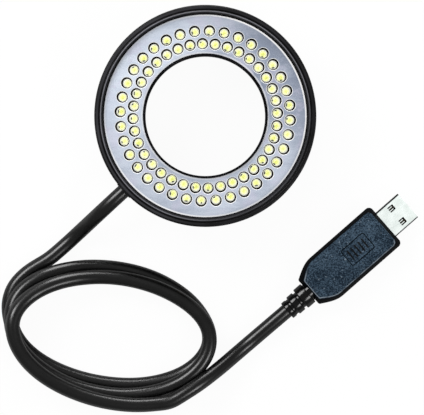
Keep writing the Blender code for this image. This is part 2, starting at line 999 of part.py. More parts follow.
def cable():
    coil = coil_points()
    tube("cable_lead", lead_points(coil), cord_radius, 2, cord_black)
    tube("cable_coil", coil, cord_radius, 1, cord_black)
    tube("cable_tail", tail_points(coil), cord_radius, 2, cord_black)
    print("least gap of the coil to itself, mm:", round(1000 * least_coil_gap(coil), 3))


# Plug cover: a moulded grip with bevelled edges, a tapering rear and a sunk panel on top
def plug_outline(inset):
    """Outline seen from above, from the rear middle round to the front and back."""
    rear = plug_rear_width / 2 - inset
    full = plug_width / 2 - inset
    steps = 4
    side = []
    back = plug_rear_corner
    for k in range(steps + 1):
        angle = math.radians(180 - 75 * k / steps)
        side.append((inset + back + back * math.cos(angle), rear - back + back * math.sin(angle)))
    reach = side[-1]
    for k in range(1, steps + 3):
        share = k / (steps + 2)
        x = reach[0] + (plug_taper - reach[0]) * share
        ease = math.sin(share * math.pi / 2)
        side.append((x, reach[1] + (full - reach[1]) * ease))
    front = plug_front_corner
    for k in range(steps + 1):
        angle = math.radians(90 - 90 * k / steps)
        side.append(
            (plug_length - inset - front + front * math.cos(angle), full - front + front * math.sin(angle))
        )
    return side + [(x, -y) for x, y in reversed(side)]


def plug_cover(axis):
    levels = [
        (0, plug_bevel),
        (plug_bevel_height, 0),
        (plug_thickness - plug_bevel_height, 0),
        (plug_thickness, plug_bevel),
    ]
    bm = bmesh.new()
    rings = []
    for height, inset in levels:
        rings.append([bm.verts.new((x, y, height)) for x, y in plug_outline(inset)])
    for low, high in zip(rings, rings[1:]):
        count = len(low)
        for k in range(count):
            bm.faces.new((low[k], low[(k + 1) % count], high[(k + 1) % count], high[k]))
    bm.faces.new(rings[0])
    bm.faces.new(rings[-1])
    made = place("plug_cover", bm, plug_slate, axis)
    panel = bmesh.new()
    centre = plug_length - panel_place
    outline = [(x + centre, y) for x, y in rounded_box(panel_length, panel_width, panel_corner)]
    prism(panel, outline, plug_thickness - panel_depth, plug_thickness + overrun)
    cut(made, cutter("plug_panel", panel, axis))
    pocket = bmesh.new()
    half_width = shell_width / 2 + seat_gap
    half_height = shell_thickness / 2 + seat_gap
    block(
        pocket,
        (plug_length - shell_embed - seat_gap, -half_width, plug_middle - half_height),
        (plug_length + overrun, half_width, plug_middle + half_height),
    )
    cut(made, cutter("plug_pocket", pocket, axis))
    chamber = bmesh.new()
    block(
        chamber,
        (cord_in_plug - overrun, -chamber_width / 2, plug_middle - chamber_height / 2),
        (plug_length - shell_embed, chamber_width / 2, plug_middle + chamber_height / 2),
    )
    cut(made, cutter("plug_chamber", chamber, axis))
    along = Matrix.Translation((0, 0, plug_middle)) @ Matrix.Rotation(math.pi / 2, 4, "Y")
    bore = bmesh.new()
    rod(bore, cord_radius + cord_gap, -overrun, cord_in_plug + seat_gap, thumb_sides, along)
    cut(made, cutter("plug_cord_bore", bore, axis))
    root = bmesh.new()
    rod(root, relief_root_radius + cord_gap, -overrun, relief_root_length + seat_gap, thumb_sides, along)
    cut(made, cutter("plug_relief_bore", root, axis))


# Strain relief: a ribbed sleeve, rooted in the cover's rear, which the lead runs through
def plug_strain_relief(axis):
    inside = cord_radius + cord_gap
    start = -seat_gap
    profile = [
        (inside, relief_root_length),
        (relief_root_radius, relief_root_length),
        (relief_root_radius, start),
    ]
    for k in range(relief_ribs):
        radius = relief_rib_radius - k * relief_rib_step
        end = start - relief_rib_length + k * relief_rib_shortening
        profile += [(radius, start), (radius, end)]
        if k < relief_ribs - 1:
            start = end - relief_groove
            profile += [(relief_neck_radius, end), (relief_neck_radius, start)]
    profile.append((inside, end))
    along = Matrix.Translation((0, 0, plug_middle)) @ Matrix.Rotation(math.pi / 2, 4, "Y")
    bm = turned(bmesh.new(), profile, thumb_sides, along)
    place("plug_strain_relief", bm, rubber, axis)


# Metal shell of the plug: a thin rounded tube with four spring windows
def plug_shell(axis):
    turn = Matrix.Translation((0, 0, plug_middle)) @ Matrix.Rotation(math.pi / 2, 4, "Z")
    turn = turn @ Matrix.Rotation(math.pi / 2, 4, "X")
    start = plug_length - shell_embed
    end = plug_length + shell_show
    body = bmesh.new()
    prism(body, rounded_box(shell_width, shell_thickness, shell_corner), start, end)
    bmesh.ops.transform(body, matrix=turn, verts=body.verts)
    made = place("plug_shell", body, bright_steel, axis)
    hollow = bmesh.new()
    inner_width = shell_width - 2 * shell_wall
    inner_thickness = shell_thickness - 2 * shell_wall
    inner_outline = rounded_box(inner_width, inner_thickness, shell_corner - shell_wall / 2)
    prism(hollow, inner_outline, start - overrun, end + overrun)
    bmesh.ops.transform(hollow, matrix=turn, verts=hollow.verts)
    cut(made, cutter("shell_hollow", hollow, axis))
    windows = bmesh.new()
    middle = plug_length + window_place
    for side in (-1, 1):
        y = side * window_spread / 2
        block(
            windows,
            (middle - window_length / 2, y - window_width / 2, plug_middle - shell_thickness),
            (middle + window_length / 2, y + window_width / 2, plug_middle + shell_thickness),
        )
    cut(made, cutter("shell_windows", windows, axis))


# Insulator inside the shell: a tongue along its lower side and a block that fills its rear
def plug_insulator(axis):
    half_width = shell_width / 2 - shell_wall - cord_gap
    low = plug_middle - shell_thickness / 2 + shell_wall + cord_gap
    high = plug_middle + shell_thickness / 2 - shell_wall - cord_gap
    start = plug_length - shell_embed + seat_gap
    end = plug_length + shell_show - tongue_setback
    tongue_top = low + tongue_thickness
    side = [
        (start, low),
        (end, low),
        (end, tongue_top),
        (start + block_length, tongue_top),
        (start + block_length, high),
        (start, high),
    ]
    bm = bmesh.new()
    prism(bm, side, -half_width, half_width)
    bmesh.ops.transform(bm, matrix=Matrix.Rotation(math.pi / 2, 4, "X"), verts=bm.verts)
    made = place("plug_insulator", bm, insulator_white, axis, smooth=False)
    slots = bmesh.new()
    for y in contact_places():
        block(
            slots,
            (start - overrun, y - contact_width / 2 - running_gap, tongue_top - running_gap),
            (start + block_length + overrun, y + contact_width / 2 + running_gap, high + overrun),
        )
    cut(made, cutter("contact_slots", slots, axis))


def contact_places():
    return (-contact_outer_place, -contact_inner_place, contact_inner_place, contact_outer_place)


# Four contacts along the tongue, with tails that reach back to the wires
def plug_contacts(axis):
    low = plug_middle - shell_thickness / 2 + shell_wall + cord_gap + tongue_thickness + running_gap
    start = plug_length - shell_embed - contact_tail
    end = plug_length + shell_show - tongue_setback - contact_setback
    for number, y in enumerate(contact_places(), 1):
        bm = bmesh.new()
        block(bm, (start, y - contact_width / 2, low), (end, y + contact_width / 2, low + contact_thickness))
        place(f"plug_contact_{number}", bm, gold, axis, smooth=False)


# Two wires in the cover, from the lead's end to the outer contacts
def plug_wires(spot):
    start = cord_in_plug + seat_gap
    end = plug_length - shell_embed - contact_tail - seat_gap
    bend_start, bend_end = (start + (end - start) * share for share in plug_wire_bend_shares)
    for name, side, finish in (("plug_red_wire", 1, wire_red), ("plug_black_wire", -1, wire_black)):
        local = [
            (start, side * wire_spread),
            (bend_start, side * wire_spread),
            (bend_end, side * contact_outer_place),
            (end, side * contact_outer_place),
        ]
        points = [spot @ Vector((x, y, plug_middle)) for x, y in local]
        tube(name, smooth_route(points, 4 * wire_radius), wire_radius, 1, finish)


clear_scene()
black_anodised = material("black_anodised", (0.022, 0.022, 0.025), 0.38, 0.6)
silver = material("silver", (0.62, 0.66, 0.73), 0.35, 0.7)
lamp_yellow = material("lamp_yellow", (0.90, 0.93, 0.45), 0.15)
board_green = material("board_green", (0.05, 0.22, 0.10), 0.5)
resistor_black = material("resistor_black", (0.02, 0.02, 0.02), 0.5)
brass = material("brass", (0.65, 0.48, 0.20), 0.35, 1.0)
steel = material("steel", (0.45, 0.45, 0.46), 0.35, 1.0)
bright_steel = material("bright_steel", (0.75, 0.76, 0.75), 0.2, 1.0)
nylon = material("nylon", (0.80, 0.79, 0.74), 0.5)
rubber = material("rubber", (0.015, 0.015, 0.016), 0.5)
cord_black = material("cord_black", (0.012, 0.012, 0.012), 0.35)
wire_red = material("wire_red", (0.55, 0.02, 0.02), 0.45)
wire_black = material("wire_black", (0.015, 0.015, 0.015), 0.45)
plug_slate = material("plug_slate", (0.030, 0.045, 0.070), 0.45)
insulator_white = material("insulator_white", (0.80, 0.80, 0.78), 0.5)
gold = material("gold", (0.80, 0.60, 0.25), 0.3, 1.0)

rear_cover()
outer_housing()
bore_sleeve()
reflector_plate()
inner_places, outer_places = lamp_places()
lamp_row("inner_row_leds", inner_places, inner_row_radius)
lamp_row("outer_row_leds", outer_places, outer_row_radius)
led_board()
led_resistors()
inner_fasteners = round_ring(spaced(fastener_azimuth, fastener_count), board_fastener_radius)
for fastener_number, fastener_spot in enumerate(inner_fasteners, 1):
    board_spacer(f"board_spacer_{fastener_number}", fastener_spot)
    board_screw(f"board_screw_{fastener_number}", fastener_spot)
rear_fasteners = round_ring(spaced(cover_screw_azimuth, fastener_count), cover_screw_circle)
for fastener_number, fastener_spot in enumerate(rear_fasteners, 1):
    cover_screw(f"cover_screw_{fastener_number}", fastener_spot)
for thumb_letter, thumb_azimuth in zip("abc", spaced(fastener_azimuth, fastener_count)):
    thumb_screw(thumb_letter, thumb_azimuth)
cable_bush()
cable_tie()
supply_wires()
cable()
plug_spot = Matrix.Translation((*plug_place, 0)) @ Matrix.Rotation(plug_heading, 4, "Z")
plug_axis = empty_at("plug_axis", plug_spot)
plug_cover(plug_axis)
plug_strain_relief(plug_axis)
plug_shell(plug_axis)
plug_insulator(plug_axis)
plug_contacts(plug_axis)
plug_wires(plug_spot)
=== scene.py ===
# Microscope ring light with its lead and power plug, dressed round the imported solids.
# Metres, +Z up: the ring lies on its collar with the lamps facing up, and its axis is Z.
import math
import random

import bmesh
import bpy
from mathutils import Matrix, Vector


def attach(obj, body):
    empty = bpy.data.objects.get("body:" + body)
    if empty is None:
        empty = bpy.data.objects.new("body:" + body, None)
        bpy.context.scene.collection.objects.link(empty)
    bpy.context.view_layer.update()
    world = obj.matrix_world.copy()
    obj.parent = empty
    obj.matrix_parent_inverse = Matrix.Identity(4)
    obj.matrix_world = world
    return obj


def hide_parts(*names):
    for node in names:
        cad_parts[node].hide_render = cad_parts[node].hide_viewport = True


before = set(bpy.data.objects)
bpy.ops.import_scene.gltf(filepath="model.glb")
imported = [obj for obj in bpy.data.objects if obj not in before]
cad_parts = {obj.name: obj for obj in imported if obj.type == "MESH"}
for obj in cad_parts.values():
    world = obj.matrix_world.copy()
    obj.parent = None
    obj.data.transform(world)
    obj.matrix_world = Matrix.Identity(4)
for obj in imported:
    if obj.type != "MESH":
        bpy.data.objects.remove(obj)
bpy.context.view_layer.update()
scene = bpy.context.scene

# Camera. It looks straight down on the lamps from far off, so that the picture has hardly any
# perspective. The ring's axis stands at one pixel of the picture, which gives the camera's place.
picture_width = 424
picture_height = 415
pixel_size = 0.0003834
ring_pixel = (205.3, 116.1)
camera_level = 0.018
camera_distance = 4.0
sensor_width = 36

camera_data = bpy.data.cameras.new("camera")
camera_data.sensor_width = sensor_width
camera_data.lens = sensor_width * camera_distance / (picture_width * pixel_size)
camera_data.clip_start = 0.1
camera_data.clip_end = 20
camera = bpy.data.objects.new("camera", camera_data)
camera.location = (
    (picture_width / 2 - ring_pixel[0]) * pixel_size,
    (ring_pixel[1] - picture_height / 2) * pixel_size,
    camera_level + camera_distance,
)
scene.collection.objects.link(camera)
scene.camera = camera

# Lead. A round jacketed cord, black and half glossy, moulded into the plug. It leaves the wall
# square, comes down to the table, lies there in two and a half loose oval turns that cross over
# themselves, and rises again into the plug's rear.
cord_radius = 0.0028
cord_diameter = 2 * cord_radius
cord_azimuth = math.radians(222.5)
cord_height = 0.0150
cord_inner_end = 0.0330
housing_radius = 0.0425
stub_end = housing_radius + 0.0045
cord_exit = Vector((math.cos(cord_azimuth), math.sin(cord_azimuth), 0)) * housing_radius
coil_centre = cord_exit + Vector((-0.0048, -0.0537, 0))
coil_half_length = 0.0383
coil_half_width = 0.02035
coil_turn = math.radians(-6.7)
coil_pitch = cord_diameter + 0.0005
coil_end_degrees = 2
plug_place = cord_exit + Vector((0.07105, -0.03891, 0))
plug_heading = math.radians(41.2)
plug_middle = 0.0046
cord_in_plug = 0.0090
line_step = 0.0009
lead_shares = [(0.2, 0.92), (0.4, 0.68), (0.6, 0.32), (0.8, 0.08)]
# How far along the straight line to the plug, how far beside it, what is left of the coil's
# height there, and how far the tail has risen to the plug's middle
tail_shares = [
    (0.09, -0.0098, 0.99, 0), (0.18, -0.0190, 0.92, 0), (0.27, -0.0222, 0.72, 0),
    (0.36, -0.0222, 0.43, 0), (0.45, -0.0192, 0.17, 0), (0.56, -0.0154, 0.02, 0.10),
    (0.67, -0.0115, 0, 0.60), (0.78, -0.0077, 0, 0.98), (0.86, -0.0049, 0, 1.00),
    (0.93, -0.0024, 0, 1.00),
]
# Degrees round the oval, then how far outside it and how high the turn lies, in coil pitches
coil_station_shares = [
    (124, 1.72, 0), (127, 1.55, 0), (132, 1.39, 0), (140, 1.27, 0),
    (155, 0.97, 0), (168, 0.54, 0), (180, 0.16, 0), (195, 0, 0),
    (216, -0.06, 0), (240, -0.05, 0), (264, 0, 0), (290, 0.05, 0),
    (315, 0.01, 0), (340, -0.06, 0), (360, -0.04, 0), (384, 0, 0),
    (408, 0.25, 0), (432, 0.50, 0), (450, 0.60, 0), (468, 0.64, 0.12),
    (480, 0.63, 0.40), (492, 0.60, 0.68), (504, 0.54, 0.81), (516, 0.42, 0.92),
    (528, 0.25, 1.00), (540, 0.10, 1.04), (558, 0.08, 1.04), (576, 0.20, 1.01),
    (592, 0.34, 0.96), (608, 0.50, 0.90), (624, 0.61, 0.83), (642, 0.66, 0.81),
    (660, 0.58, 0.865), (676, 0.42, 0.94), (700, 0.12, 1.02), (720, -0.02, 1.03),
    (744, -0.03, 1.03), (768, -0.04, 1.00), (790, 0, 0.92), (805, 0.02, 0.87),
    (818, 0.01, 0.87), (828, -0.02, 0.95), (840, -0.05, 1.19), (852, -0.09, 1.45),
    (864, -0.13, 1.59), (876, -0.15, 1.77), (888, -0.12, 1.96), (900, -0.05, 2.07),
    (915, 0.06, 2.08), (930, 0.27, 2.05), (945, 0.51, 1.99), (960, 0.73, 1.91),
    (975, 0.93, 1.81), (990, 1.12, 1.72), (1005, 1.27, 1.62), (1018, 1.35, 1.54),
]


def station(degrees, column):
    """Read one column of the stations on a smooth curve through them."""
    rows = coil_station_shares
    last = len(rows) - 1
    k = 0
    while k < last - 1 and rows[k + 1][0] <= degrees:
        k += 1

    def slope(i):
        before = rows[max(i - 1, 0)]
        after = rows[min(i + 1, last)]
        return (after[column] - before[column]) / (after[0] - before[0])

    span = rows[k + 1][0] - rows[k][0]
    t = (degrees - rows[k][0]) / span
    return (
        (2 * t**3 - 3 * t**2 + 1) * rows[k][column]
        + (t**3 - 2 * t**2 + t) * span * slope(k)
        + (3 * t**2 - 2 * t**3) * rows[k + 1][column]
        + (t**3 - t**2) * span * slope(k + 1)
    )


def coil_point(degrees):
    angle = math.radians(degrees)
    out = Vector((coil_half_width * math.cos(angle), coil_half_length * math.sin(angle), 0)).normalized()
    flat = Vector((coil_half_length * math.cos(angle), coil_half_width * math.sin(angle), 0))
    flat += out * station(degrees, 1) * coil_pitch
    point = Matrix.Translation(coil_centre) @ Matrix.Rotation(coil_turn, 4, "Z") @ flat
    point.z = cord_radius + station(degrees, 2) * coil_pitch
    return point


def level(direction):
    return Vector((direction.x, direction.y, 0)).normalized()


def flowing(points, steps=24):
    """A smooth curve through points that stand about evenly."""
    ends = [2 * points[0] - points[1]] + points + [2 * points[-1] - points[-2]]
    fine = []
    for a, b, c, d in zip(ends, ends[1:], ends[2:], ends[3:]):
        for step in range(steps):
            t = step / steps
            square = (2 * a - 5 * b + 4 * c - d) * t**2
            cube = (3 * b - a - 3 * c + d) * t**3
            fine.append((2 * b + (c - a) * t + square + cube) / 2)
    return fine + [points[-1]]


def evened(points, spacing):
    """The same line with its points at even distances."""
    whole = sum((q - p).length for p, q in zip(points, points[1:]))
    count = round(whole / spacing)
    read = [points[0]]
    gone = 0.0
    for p, q in zip(points, points[1:]):
        span = (q - p).length
        while len(read) < count and gone + span >= whole * len(read) / count:
            read.append(p.lerp(q, (whole * len(read) / count - gone) / span))
        gone += span
    return read + [points[-1]]


first_degree = coil_station_shares[0][0]
last_degree = coil_station_shares[-1][0]
coil_line = [coil_point(d) for d in range(first_degree, last_degree + 1)]
coil_in = level(coil_point(first_degree + coil_end_degrees) - coil_line[0])
coil_out = level(coil_line[-1] - coil_point(last_degree - coil_end_degrees))
coil_start = coil_line[0] - coil_in * cord_diameter
coil_end = coil_line[-1] + coil_out * cord_diameter

wall_line = cord_exit.normalized()
reaches = (cord_inner_end, (cord_inner_end + housing_radius) / 2, housing_radius, stub_end)
lead_line = [wall_line * reach + Vector((0, 0, cord_height)) for reach in reaches]
stub = lead_line[-1]
for along, left in lead_shares:
    point = stub.lerp(coil_start, along)
    point.z = cord_radius + left * (cord_height - cord_radius)
    lead_line.append(point)
lead_line.append(coil_start)

plug_rear = plug_place + Vector((0, 0, plug_middle))
plug_forward = Vector((math.cos(plug_heading), math.sin(plug_heading), 0))
way = plug_rear - coil_end
way.z = 0
beside = Vector((-way.y, way.x, 0))
tail_line = [coil_end]
for along, side, left, risen in tail_shares:
    point = coil_end + way * along + beside * side
    rise = left * (coil_end.z - cord_radius) + risen * (plug_middle - cord_radius)
    point.z = cord_radius + rise
    tail_line.append(point)
tail_line += [plug_rear, plug_rear + plug_forward * cord_in_plug]

cord_line = flowing(lead_line)[:-1] + [coil_start.lerp(coil_line[0], 0.5)] + coil_line
cord_line += [coil_line[-1].lerp(coil_end, 0.5)] + flowing(tail_line)
cord_line = evened(cord_line, line_step)
for _ in range(10):
    middles = [(a + 2 * b + c) / 4 for a, b, c in zip(cord_line, cord_line[1:], cord_line[2:])]
    cord_line = [cord_line[0], *middles, cord_line[-1]]


class Wire:
    """A node's socket. Sums on it add the Math nodes that they need."""

    def __init__(self, tree, socket):
        self.tree = tree
        self.socket = socket

    def sum(self, operation, first, second=None):
        made = self.tree.nodes.new("ShaderNodeMath")
        made.operation = operation
        for slot, value in zip(made.inputs, (first, second)):
            give(self.tree, slot, value)
        return Wire(self.tree, made.outputs[0])

    def __add__(self, other):
        return self.sum("ADD", self, other)

    def __radd__(self, other):
        return self.sum("ADD", other, self)

    def __sub__(self, other):
        return self.sum("SUBTRACT", self, other)

    def __rsub__(self, other):
        return self.sum("SUBTRACT", other, self)

    def __mul__(self, other):
        return self.sum("MULTIPLY", self, other)

    def __rmul__(self, other):
        return self.sum("MULTIPLY", other, self)

    def __truediv__(self, other):
        return self.sum("DIVIDE", self, other)

    def __abs__(self):
        return self.sum("ABSOLUTE", self)

    def clamped(self):
        return self.sum("MINIMUM", self, 1.0)


def give(tree, slot, value):
    """Link a wire to a socket, or set the socket to a plain value."""
    if isinstance(value, Wire):
        tree.links.new(value.socket, slot)
    elif value is not None:
        slot.default_value = value


def colour(red, green, blue):
    """A colour as a screen shows it, 0 to 255, as the shader's own linear numbers."""
    parts = [part / 255 for part in (red, green, blue)]
    return (*[p / 12.92 if p <= 0.04045 else ((p + 0.055) / 1.055) ** 2.4 for p in parts], 1)


class Nodes:
    """A node tree with one method that adds any node."""

    def __init__(self, tree):
        self.tree = tree

    def node(self, kind, settings=None, sockets=None, output=0):
        made = self.tree.nodes.new("ShaderNode" + kind)
        for name, value in (settings or {}).items():
            setattr(made, name, value)
        for name, value in (sockets or {}).items():
            give(self.tree, made.inputs[name], value)
        return Wire(self.tree, made.outputs[output])

    def mix(self, share, first, second):
        sockets = {0: share, 6: first, 7: second}
        return self.node("Mix", {"data_type": "RGBA"}, sockets, 2)

    def noise(self, place, scale, detail=2.0, roughness=0.5):
        sockets = {"Vector": place, "Scale": scale, "Detail": detail, "Roughness": roughness}
        return self.node("TexNoise", {}, sockets)

    def ramp(self, value, low, high):
        """0 below low, 1 above high, and smooth between them."""
        settings = {"interpolation_type": "SMOOTHSTEP"}
        return self.node("MapRange", settings, {"Value": value, "From Min": low, "From Max": high})


class Finish(Nodes):
    """A material. Plain numbers go straight onto its Principled shader's sockets."""

    def __init__(self, name, **plain):
        self.material = bpy.data.materials.new(name)
        self.material.use_nodes = True
        super().__init__(self.material.node_tree)
        self.shader = self.tree.nodes["Principled BSDF"]
        for key, value in plain.items():
            self.shader.inputs[key.replace("_", " ").title().replace("Ior", "IOR")].default_value = value
        self.place = self.node("TexCoord", output="Object")

    def feed(self, **wires):
        for key, wire in wires.items():
            give(self.tree, self.shader.inputs[key.replace("_", " ").title()], wire)

    def relief(self, height, depth, strength=1.0):
        """Raise and sink the surface's shading by a height of 0 to 1 times a depth in metres."""
        sockets = {"Strength": strength, "Distance": depth, "Height": height}
        self.feed(normal=self.node("Bump", {}, sockets, "Normal"))

    def axis(self, name, place=None):
        return self.node("SeparateXYZ", {}, {"Vector": place or self.place}, name)

    def stretched(self, place, shares):
        return self.node("VectorMath", {"operation": "MULTIPLY"}, {0: place, 1: shares})

    def in_plug(self):
        """The place measured from the plug's rear, with X along the plug."""
        sockets = {"Vector": self.place, "Location": plug_place, "Rotation": (0, 0, plug_heading)}
        return self.node("Mapping", {"vector_type": "TEXTURE"}, sockets)

    def stored(self, name):
        """A value that the mesh keeps on its points."""
        return self.node("Attribute", {"attribute_name": name}, output="Fac")

    def radius(self):
        """How far a point is from the ring's axis."""
        flat = self.stretched(self.place, (1, 1, 0))
        return self.node("VectorMath", {"operation": "LENGTH"}, {0: flat}, "Value")


def moulded(name, dark, light, roughness, scale, depth, **plain):
    """A plain solid material: cloudy tones between two colours, uneven gloss and a fine grain."""
    made = Finish(name, **plain)
    cloud = made.noise(made.place, 90, 3)
    grain = made.noise(made.place, scale, 2)
    share = made.ramp(0.7 * cloud + 0.3 * grain, 0.38, 0.62)
    made.feed(
        base_color=made.mix(share, colour(*dark), colour(*light)),
        roughness=roughness - 0.05 + 0.10 * grain,
    )
    made.relief(grain, depth, 0.4)
    return made.material


cord_curve = bpy.data.curves.new("lead", "CURVE")
cord_curve.dimensions = "3D"
cord_curve.bevel_depth = cord_radius
cord_curve.bevel_resolution = 7
cord_curve.use_fill_caps = True
cord_spline = cord_curve.splines.new("POLY")
cord_spline.points.add(len(cord_line) - 1)
for spot, point in zip(cord_spline.points, cord_line):
    spot.co = (*point, 1)
cord_spline.use_smooth = True
jacket = moulded("cord jacket", (5, 5, 5), (11, 11, 11), 0.29, 1800, 0.000006, specular_ior_level=0.75)
cord_curve.materials.append(jacket)
lead = bpy.data.objects.new("lead", cord_curve)
scene.collection.objects.link(lead)
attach(lead, "ring_light")
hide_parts("cable_lead", "cable_coil", "cable_tail")

# Housing. The ring's outer wall, turned from aluminium and anodised black. Its lip has a flat
# outer band, a groove, a fine bead whose crown is cut bright, and a steep inner wall. A painted
# highlight lies on the bead's crown and along the outer band, fading toward the lower right.
wall_inside = 0.0391
wall_foot = 0.0105
plate_level = 0.0246
plate_top = 0.0258
lip_top = 0.0282
ledge_inside = 0.0379
ledge_top = 0.0243
ledge_foot = 0.0226
bead_radius = 0.04008
bead_half_width = 0.00022
# Where the painted highlight band lies, along the middle of the outer band.
highlight_band_radius = 0.0414
highlight_band_half_width = 0.0006
entry_radius = cord_radius + 0.00075
ring_sides = 160


def softened(corners, steps=4):
    """Round each corner of a closed outline, given as radius, height and the rounding's reach."""
    points = []
    for k, (x, y, reach) in enumerate(corners):
        here = Vector((x, y))
        before = Vector(corners[k - 1][:2])
        after = Vector(corners[(k + 1) % len(corners)][:2])
        if reach == 0:
            points.append((x, y))
            continue
        start = here + (before - here).normalized() * reach
        end = here + (after - here).normalized() * reach
        for step in range(steps + 1):
            t = step / steps
            point = start * (1 - t) ** 2 + here * 2 * t * (1 - t) + end * t**2
            points.append((point.x, point.y))
    return points


def spun(outline, sides, closed=True):
    """Turn an outline of radius and height once round Z, as on a lathe."""
    bm = bmesh.new()
    points = [bm.verts.new((radius, 0, height)) for radius, height in outline]
    edges = [bm.edges.new(pair) for pair in zip(points, points[1:])]
    if closed:
        edges.append(bm.edges.new((points[-1], points[0])))
    whole = {"angle": 2 * math.pi, "steps": sides, "use_merge": True}
    bmesh.ops.spin(bm, geom=points + edges, cent=(0, 0, 0), axis=(0, 0, 1), **whole)
    bmesh.ops.remove_doubles(bm, verts=bm.verts, dist=1e-7)
    bmesh.ops.dissolve_degenerate(bm, edges=bm.edges, dist=1e-7)
    return bm


def outward(azimuth, height):
    """A place on the ring's axis, turned so that its Z points outward."""
    turn = Matrix.Rotation(azimuth, 4, "Z") @ Matrix.Rotation(math.pi / 2, 4, "Y")
    return Matrix.Translation((0, 0, height)) @ turn


def shaded(mesh, sharp):
    mesh.shade_smooth()
    mesh.set_sharp_from_angle(angle=math.radians(sharp))


def finished(name, bm, finish, sharp=35):
    """Make a mesh object from a bmesh, shaded smooth up to an edge angle."""
    bmesh.ops.remove_doubles(bm, verts=bm.verts, dist=1e-7)
    bmesh.ops.recalc_face_normals(bm, faces=bm.faces)
    mesh = bpy.data.meshes.new(name)
    bm.to_mesh(mesh)
    bm.free()
    shaded(mesh, sharp)
    mesh.materials.append(finish)
    made = bpy.data.objects.new(name, mesh)
    scene.collection.objects.link(made)
    return made


def turned(name, corners, finish):
    """Make a turned piece of the ring from the corners of its outline."""
    return finished(name, spun(softened(corners), ring_sides), finish)


def fitted(piece, body, slot, *nodes):
    """Tell the frame what a piece rides on, and hide the nodes that it stands for. The slot is not used."""
    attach(piece, body)
    if nodes:
        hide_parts(*nodes)


def gather(parts):
    """Put several bmeshes into one."""
    bm = bmesh.new()
    for part in parts:
        held = bpy.data.meshes.new("held")
        part.to_mesh(held)
        part.free()
        bm.from_mesh(held)
        bpy.data.meshes.remove(held)
    return bm


def moved(bm, matrix):
    bmesh.ops.transform(bm, matrix=matrix, verts=bm.verts)
    return bm


def carve(piece, bm, sharp=35):
    """Cut a closed bmesh out of a piece, and keep what is left as the piece's mesh."""
    bmesh.ops.recalc_face_normals(bm, faces=bm.faces)
    held = bpy.data.meshes.new("tool")
    bm.to_mesh(held)
    bm.free()
    tool = bpy.data.objects.new("tool", held)
    scene.collection.objects.link(tool)
    step = piece.modifiers.new("cut", "BOOLEAN")
    step.operation = "DIFFERENCE"
    step.solver = "EXACT"
    step.object = tool
    bpy.context.view_layer.update()
    whole = piece.evaluated_get(bpy.context.evaluated_depsgraph_get())
    left = bpy.data.meshes.new_from_object(whole)
    piece.modifiers.clear()
    piece.data = left
    shaded(left, sharp)
    bpy.data.objects.remove(tool)
    bpy.data.meshes.remove(held)


def joined(piece, parts, sharp, aligned=False):
    """Add closed bmeshes to a piece's mesh."""
    held = bmesh.new()
    held.from_mesh(piece.data)
    whole = gather([held, *parts])
    if aligned:
        bmesh.ops.recalc_face_normals(whole, faces=whole.faces)
    whole.to_mesh(piece.data)
    whole.free()
    shaded(piece.data, sharp)


def stamped(outline, sides, spots):
    """The same turned form at several places."""
    return gather([moved(spun(outline, sides, False), spot) for spot in spots])


def drilled(piece, radius, levels, sides, spots):
    """Cut the same round or six-sided hole at several places."""
    carve(piece, gather([rod(radius, *levels, sides, spot) for spot in spots]))


def rod(radius, low, high, sides, matrix=None):
    """A plain round bar along Z, to cut with."""
    bm = bmesh.new()
    spot = Matrix.Translation((0, 0, (low + high) / 2))
    place = spot if matrix is None else matrix @ spot
    round_bar = {"segments": sides, "radius1": radius, "radius2": radius, "depth": high - low}
    bmesh.ops.create_cone(bm, cap_ends=True, matrix=place, **round_bar)
    return bm


def anodised(name, crown_and_rim_highlights, dull=0.0):
    """Black anodised metal with fine turning lines. A bead's crown can be cut bright, with painted highlights
    on it and along the outer band.
    """
    made = Finish(name, specular_ior_level=0.25 * (1 - dull))
    radius = made.radius()
    height = made.axis("Z")
    lines = made.node("TexNoise", {"noise_dimensions": "1D"}, {"W": (radius + height) * 9000, "Scale": 1.0})
    cloud = made.noise(made.place, 70, 3)
    black = made.mix(made.ramp(cloud, 0.35, 0.65), colour(8, 8, 9), colour(22, 21, 25))
    roughness = 0.32 + 0.4 * dull + 0.10 * lines + 0.06 * cloud
    if crown_and_rim_highlights:
        # The bead's crown is cut bright and carries a painted highlight, faded toward the lower right.
        across = 1 - made.ramp(abs(radius - bead_radius), bead_half_width * 0.6, bead_half_width)
        crown = across * made.ramp(height, lip_top - 0.0002, lip_top - 0.0001)
        # Painted highlight: a band along the middle of the outer band, weaker on the right.
        crest = 1 - made.ramp(abs(radius - highlight_band_radius), highlight_band_half_width * 0.3, highlight_band_half_width)
        crest *= made.ramp(height, lip_top - 0.0006, lip_top - 0.0004)
        # Painted light: both highlights fade toward the lower right, which lies away from the light.
        painted_lit_side = 1 - made.ramp(made.axis("X") - made.axis("Y"), 0.5 * housing_radius, 1.2 * housing_radius)
        crest *= 1 - 0.7 * made.ramp(made.axis("X"), -0.5 * housing_radius, 0.3 * housing_radius)
        black = made.mix(crest * painted_lit_side * (0.1 + 0.6 * cloud), black, colour(70, 70, 75))
        bright_edge_and_painted_highlight = crown * (0.15 + 0.85 * painted_lit_side) * (0.30 + 0.5 * cloud)
        made.feed(metallic=0.5 * bright_edge_and_painted_highlight)
        roughness += 0.5 - 0.5 * made.ramp(radius, bead_radius - 0.0005, bead_radius - 0.0003)
        black = made.mix(bright_edge_and_painted_highlight, black, colour(152, 152, 160))
    made.feed(base_color=black, roughness=roughness)
    made.relief(lines, 0.00001, 0.3)
    return made.material


